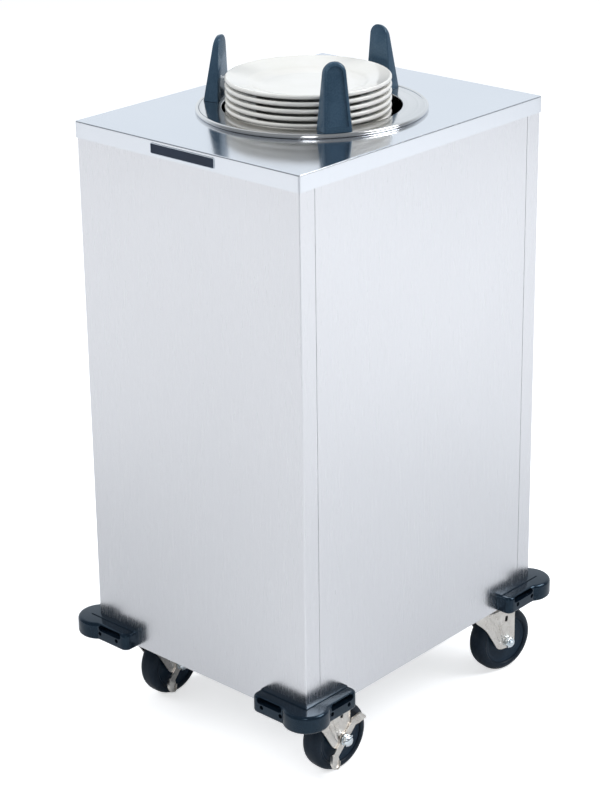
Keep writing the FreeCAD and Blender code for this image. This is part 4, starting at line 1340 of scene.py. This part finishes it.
    def _half_lever(self, end: LeverEnd) -> list[Array]:
        """Works out one half of the lever as a strip along +Y that turns up into its pad.

        The half width goes from the hub's circle to the bar's and then to the pad's, and the pad's
        nose is round. On the outer side, the rim is the band within 1.5 mm of the pad's edge, and the
        ribs are waves across it.

        Args:
            end: shape of the pad.

        Returns:
            The outer and the inner side, each as rows from the axle to the pad's end.
        """
        turn = math.radians(self.lever_bend)
        corner = np.array([self.lever_straight, 0.0])
        tip = corner + end.length * np.array([math.cos(turn), math.sin(turn)])
        line = softened(np.array([[0.0, 0.0], corner, tip]), [0, 5, 0], 10)
        steps = np.concatenate([[0.0], np.cumsum(np.linalg.norm(np.diff(line, axis=0), axis=1))])
        total = steps[-1]
        along = np.linspace(0.0, total, 81)
        course = np.stack([np.interp(along, steps, line[:, 0]), np.interp(along, steps, line[:, 1])], 1)
        direction = np.gradient(course, along, axis=0)
        normal = np.stack([-direction[:, 1], direction[:, 0]], 1)
        grow = np.clip((along - (total - end.length - 4.0)) / 6.0, 0.0, 1.0)
        grow = grow * grow * (3 - 2 * grow)
        tail = np.clip(along - (total - end.nose), 0.0, end.nose)
        bar = self.lever_bar_half + (end.half - self.lever_bar_half) * grow
        bar = bar - (end.nose - np.sqrt(np.maximum(end.nose ** 2 - tail ** 2, 0.0)))
        half = np.maximum(np.sqrt(np.maximum(self.lever_hub ** 2 - along ** 2, 0.0)), bar)[:, None]
        across = np.linspace(-1.0, 1.0, 41)[None, :]
        ahead = along[:, None]
        rim = np.clip((1.5 - half * (1 - np.abs(across))) / 0.5, 0.0, 1.0)
        rim = np.maximum(rim, np.clip((ahead - (total - 1.5)) / 0.5, 0.0, 1.0))
        middle = total - end.length / 2
        wave = 0.5 + 0.5 * np.cos((ahead - middle) / 3.4 * 2 * math.pi)
        inside = (np.abs(ahead - middle) < 5.1) & (np.abs(across) < 0.62)
        pad = np.clip((ahead - (total - end.length + 1.5)) / 0.8, 0.0, 1.0)
        raised = pad * np.maximum(rim * end.rim, np.where(inside, wave, 0.0) * end.rib)
        sides = []
        for lift in (self.lever_thick - 0.9 + raised, np.zeros_like(raised)):
            forward = course[:, :1] + normal[:, :1] * lift
            outward = course[:, 1:] + normal[:, 1:] * lift
            sides.append(np.stack([across * half, forward, outward + self.lever_inner], -1))
        return sides

    def _lever(self, place: CasterPlace) -> None:
        """Makes the brake lever: a pressed strip round the axle, a ribbed pad above, a cup below.

        Args:
            place: caster that the lever belongs to.
        """
        lower = [side[::-1, ::-1] * (-1, -1, 1) for side in self._half_lever(LOWER_END)]
        outer, inner = (np.concatenate([far[:-1], near])
                        for far, near in zip(lower, self._half_lever(UPPER_END)))
        strip = np.concatenate([outer, inner[:, ::-1]], 1)
        angled = turned_and_moved(strip, self.lever_angle)
        shape = Shape().solid(self._on_axle(angled, place))
        piece = shape.make("brake_pedal_" + place.name, 35.0)
        circle = np.array([[6.05, self.lever_inner - 2.0], [6.05, self.lever_inner + 5.0]])
        tool = Shape().solid(self._on_axle(revolved(circle, 32), place))
        cut(piece, tool, 35.0)
        mount(piece, ZINC, "brake_" + place.name, ("brake_lever_" + place.name,))


# ------------------------------------------------------------------------------------------ studio
@dataclass
class Studio:
    """A pale floor, soft lamps, a white background and the camera."""

    floor_half: float = 9.0
    azimuth: float = 42.28
    elevation: float = 19.74
    roll: float = -0.78
    lens: float = 99.0
    sensor: float = 36.0
    far: float = 60.0
    shift_y: float = -0.13
    eye: tuple[float, float, float] = (1.976, -2.203, 1.693)
    camera_glow: float = 0.60
    soft_light: float = 0.36
    shade: float = 0.30
    backdrop: tuple[float, float] = (0.1, 0.75)
    floor_paint: tuple[float, ...] = (0.86, 0.87, 0.88, 1.0)
    soft_colour: tuple[float, ...] = (0.88, 0.94, 1.0, 1.0)

    def build(self) -> None:
        """Makes the floor, the lamps, the world and the camera."""
        self._floor()
        self._world()
        self._lamp("key", (-2.4, -2.6, 3.4), (-1.6, -2.0, 0.0), 2.4, 102.0, (1.0, 0.99, 0.985), False)
        self._lamp("fill", (2.6, 2.0, 3.4), (1.6, 1.6, 0.0), 2.2, 122.0, (0.985, 0.99, 1.0))
        self._lamp("top", (0.3, -0.4, 3.6), (0.0, 0.0, 0.9), 2.0, 10.5, (0.98, 0.99, 1.0), False)
        self._lamp("front", (2.2, -2.7, 2.4), (0.0, 0.0, 0.6), 0.8, 14.0, (1.0, 1.0, 1.0))
        self._camera()
        scene = bpy.context.scene
        scene.view_settings.view_transform = "Standard"
        LOG.info("studio is set")

    def _floor(self) -> None:
        """Makes a level floor whose colour is pale and which glows a little to the camera."""
        half = self.floor_half / METRES
        corners = np.array([[[x, y, 0.0] for x in (-half, half)] for y in (-half, half)])
        floor = Shape().grid(corners, close_columns=False).make("floor")
        made = bpy.data.materials.new("pale_floor")
        made.use_nodes = True
        tree = made.node_tree
        tree.nodes.clear()
        seen = node(tree, "LightPath", {}, "Is Camera Ray")
        strength = node(tree, "Math", {0: seen, 1: self.camera_glow}, operation="MULTIPLY")
        glow = node(tree, "Emission", {"Color": WHITE, "Strength": strength})
        paint = node(tree, "BsdfDiffuse", {"Color": self.floor_paint})
        both = node(tree, "AddShader", {0: paint, 1: glow})
        out = tree.nodes.new("ShaderNodeOutputMaterial")
        tree.links.new(both, out.inputs["Surface"])
        floor.data.materials.append(made)

    def _world(self) -> None:
        """Makes a world that the camera sees as white, with a soft light for the rest.

        Metal sees a pale backdrop behind the cart, and darker room above it and on the camera's side.
        """
        world = bpy.data.worlds.new("soft_white")
        bpy.context.scene.world = world
        world.use_nodes = True
        tree = world.node_tree
        tree.nodes.clear()
        a = math.radians(self.azimuth)
        place = node(tree, "TexCoord", {}, "Generated")
        towards = node(tree, "VectorMath", {0: place, 1: (-math.sin(a), math.cos(a), 0.0)}, "Value",
                       operation="DOT_PRODUCT")
        span = {"From Min": self.backdrop[0], "From Max": self.backdrop[1],
                "To Min": self.shade, "To Max": 1.0}
        gloss = node(tree, "MapRange", {"Value": towards, **span}, "Result",
                     interpolation_type="SMOOTHSTEP")
        seen, shiny, through = (node(tree, "LightPath", {}, "Is %s Ray" % word)
                                for word in ("Camera", "Glossy", "Transmission"))
        mirrored = node(tree, "Math", {0: shiny, 1: through}, operation="MAXIMUM")
        strength = node(tree, "Mix", {0: mirrored, 2: self.soft_light, 3: gloss})
        light = node(tree, "Background", {"Color": self.soft_colour, "Strength": strength})
        white = node(tree, "Background", {"Color": WHITE})
        mix = node(tree, "MixShader", {"Fac": seen, 1: light, 2: white})
        out = tree.nodes.new("ShaderNodeOutputWorld")
        tree.links.new(mix, out.inputs["Surface"])

    @staticmethod
    def _lamp(name: str, place: tuple[float, float, float], aim: tuple[float, float, float], size: float,
              power: float, colour: Colour, mirrored: bool = True) -> None:
        """Adds a square soft lamp.

        Args:
            name: name of the lamp.
            place: where it stands, in metres.
            aim: point that it faces, in metres.
            size: length of its side, in metres.
            power: power in watts.
            colour: colour of its light.
            mirrored: whether shiny surfaces show the lamp.
        """
        data = bpy.data.lights.new(name, "AREA")
        data.shape = "SQUARE"
        data.size = size
        data.energy = power
        data.color = colour
        lamp = bpy.data.objects.new(name, data)
        bpy.context.scene.collection.objects.link(lamp)
        away = np.array(place) - np.array(aim)
        lamp.rotation_euler = (math.atan2(math.hypot(away[0], away[1]), away[2]), 0.0,
                               math.atan2(away[0], -away[1]))
        lamp.location = place
        lamp.visible_glossy = mirrored

    def _camera(self) -> None:
        """Adds the camera, from the photograph's angle, rolled a little about its axis."""
        data = bpy.data.cameras.new("camera")
        data.sensor_width = self.sensor
        data.lens = self.lens
        data.shift_y = self.shift_y
        data.clip_end = self.far
        camera = bpy.data.objects.new("camera", data)
        bpy.context.scene.collection.objects.link(camera)
        a, e, r = (math.radians(v) for v in (self.azimuth, self.elevation, self.roll))
        back = np.array([math.sin(a) * math.cos(e), -math.cos(a) * math.cos(e), math.sin(e)])
        right = np.array([math.cos(a), math.sin(a), 0.0])
        up = np.cross(back, right)
        axes = np.eye(4)
        axes[:3, 0] = right * math.cos(r) + up * math.sin(r)
        axes[:3, 1] = -right * math.sin(r) + up * math.cos(r)
        axes[:3, 2] = back
        axes[:3, 3] = self.eye
        camera.matrix_world = Matrix(axes.tolist())
        bpy.context.scene.camera = camera


def main() -> None:
    """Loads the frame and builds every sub-assembly round it."""
    logging.basicConfig(level=logging.INFO, format="%(name)s: %(message)s")
    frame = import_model()
    nodes = frame["nodes"]
    Cabinet().build(nodes)
    Dispenser().build(nodes)
    Plates().build()
    GuidePosts().build(nodes)
    Bumpers().build(nodes)
    Casters().build(nodes)
    Studio().build()


if __name__ == "__main__":
    main()
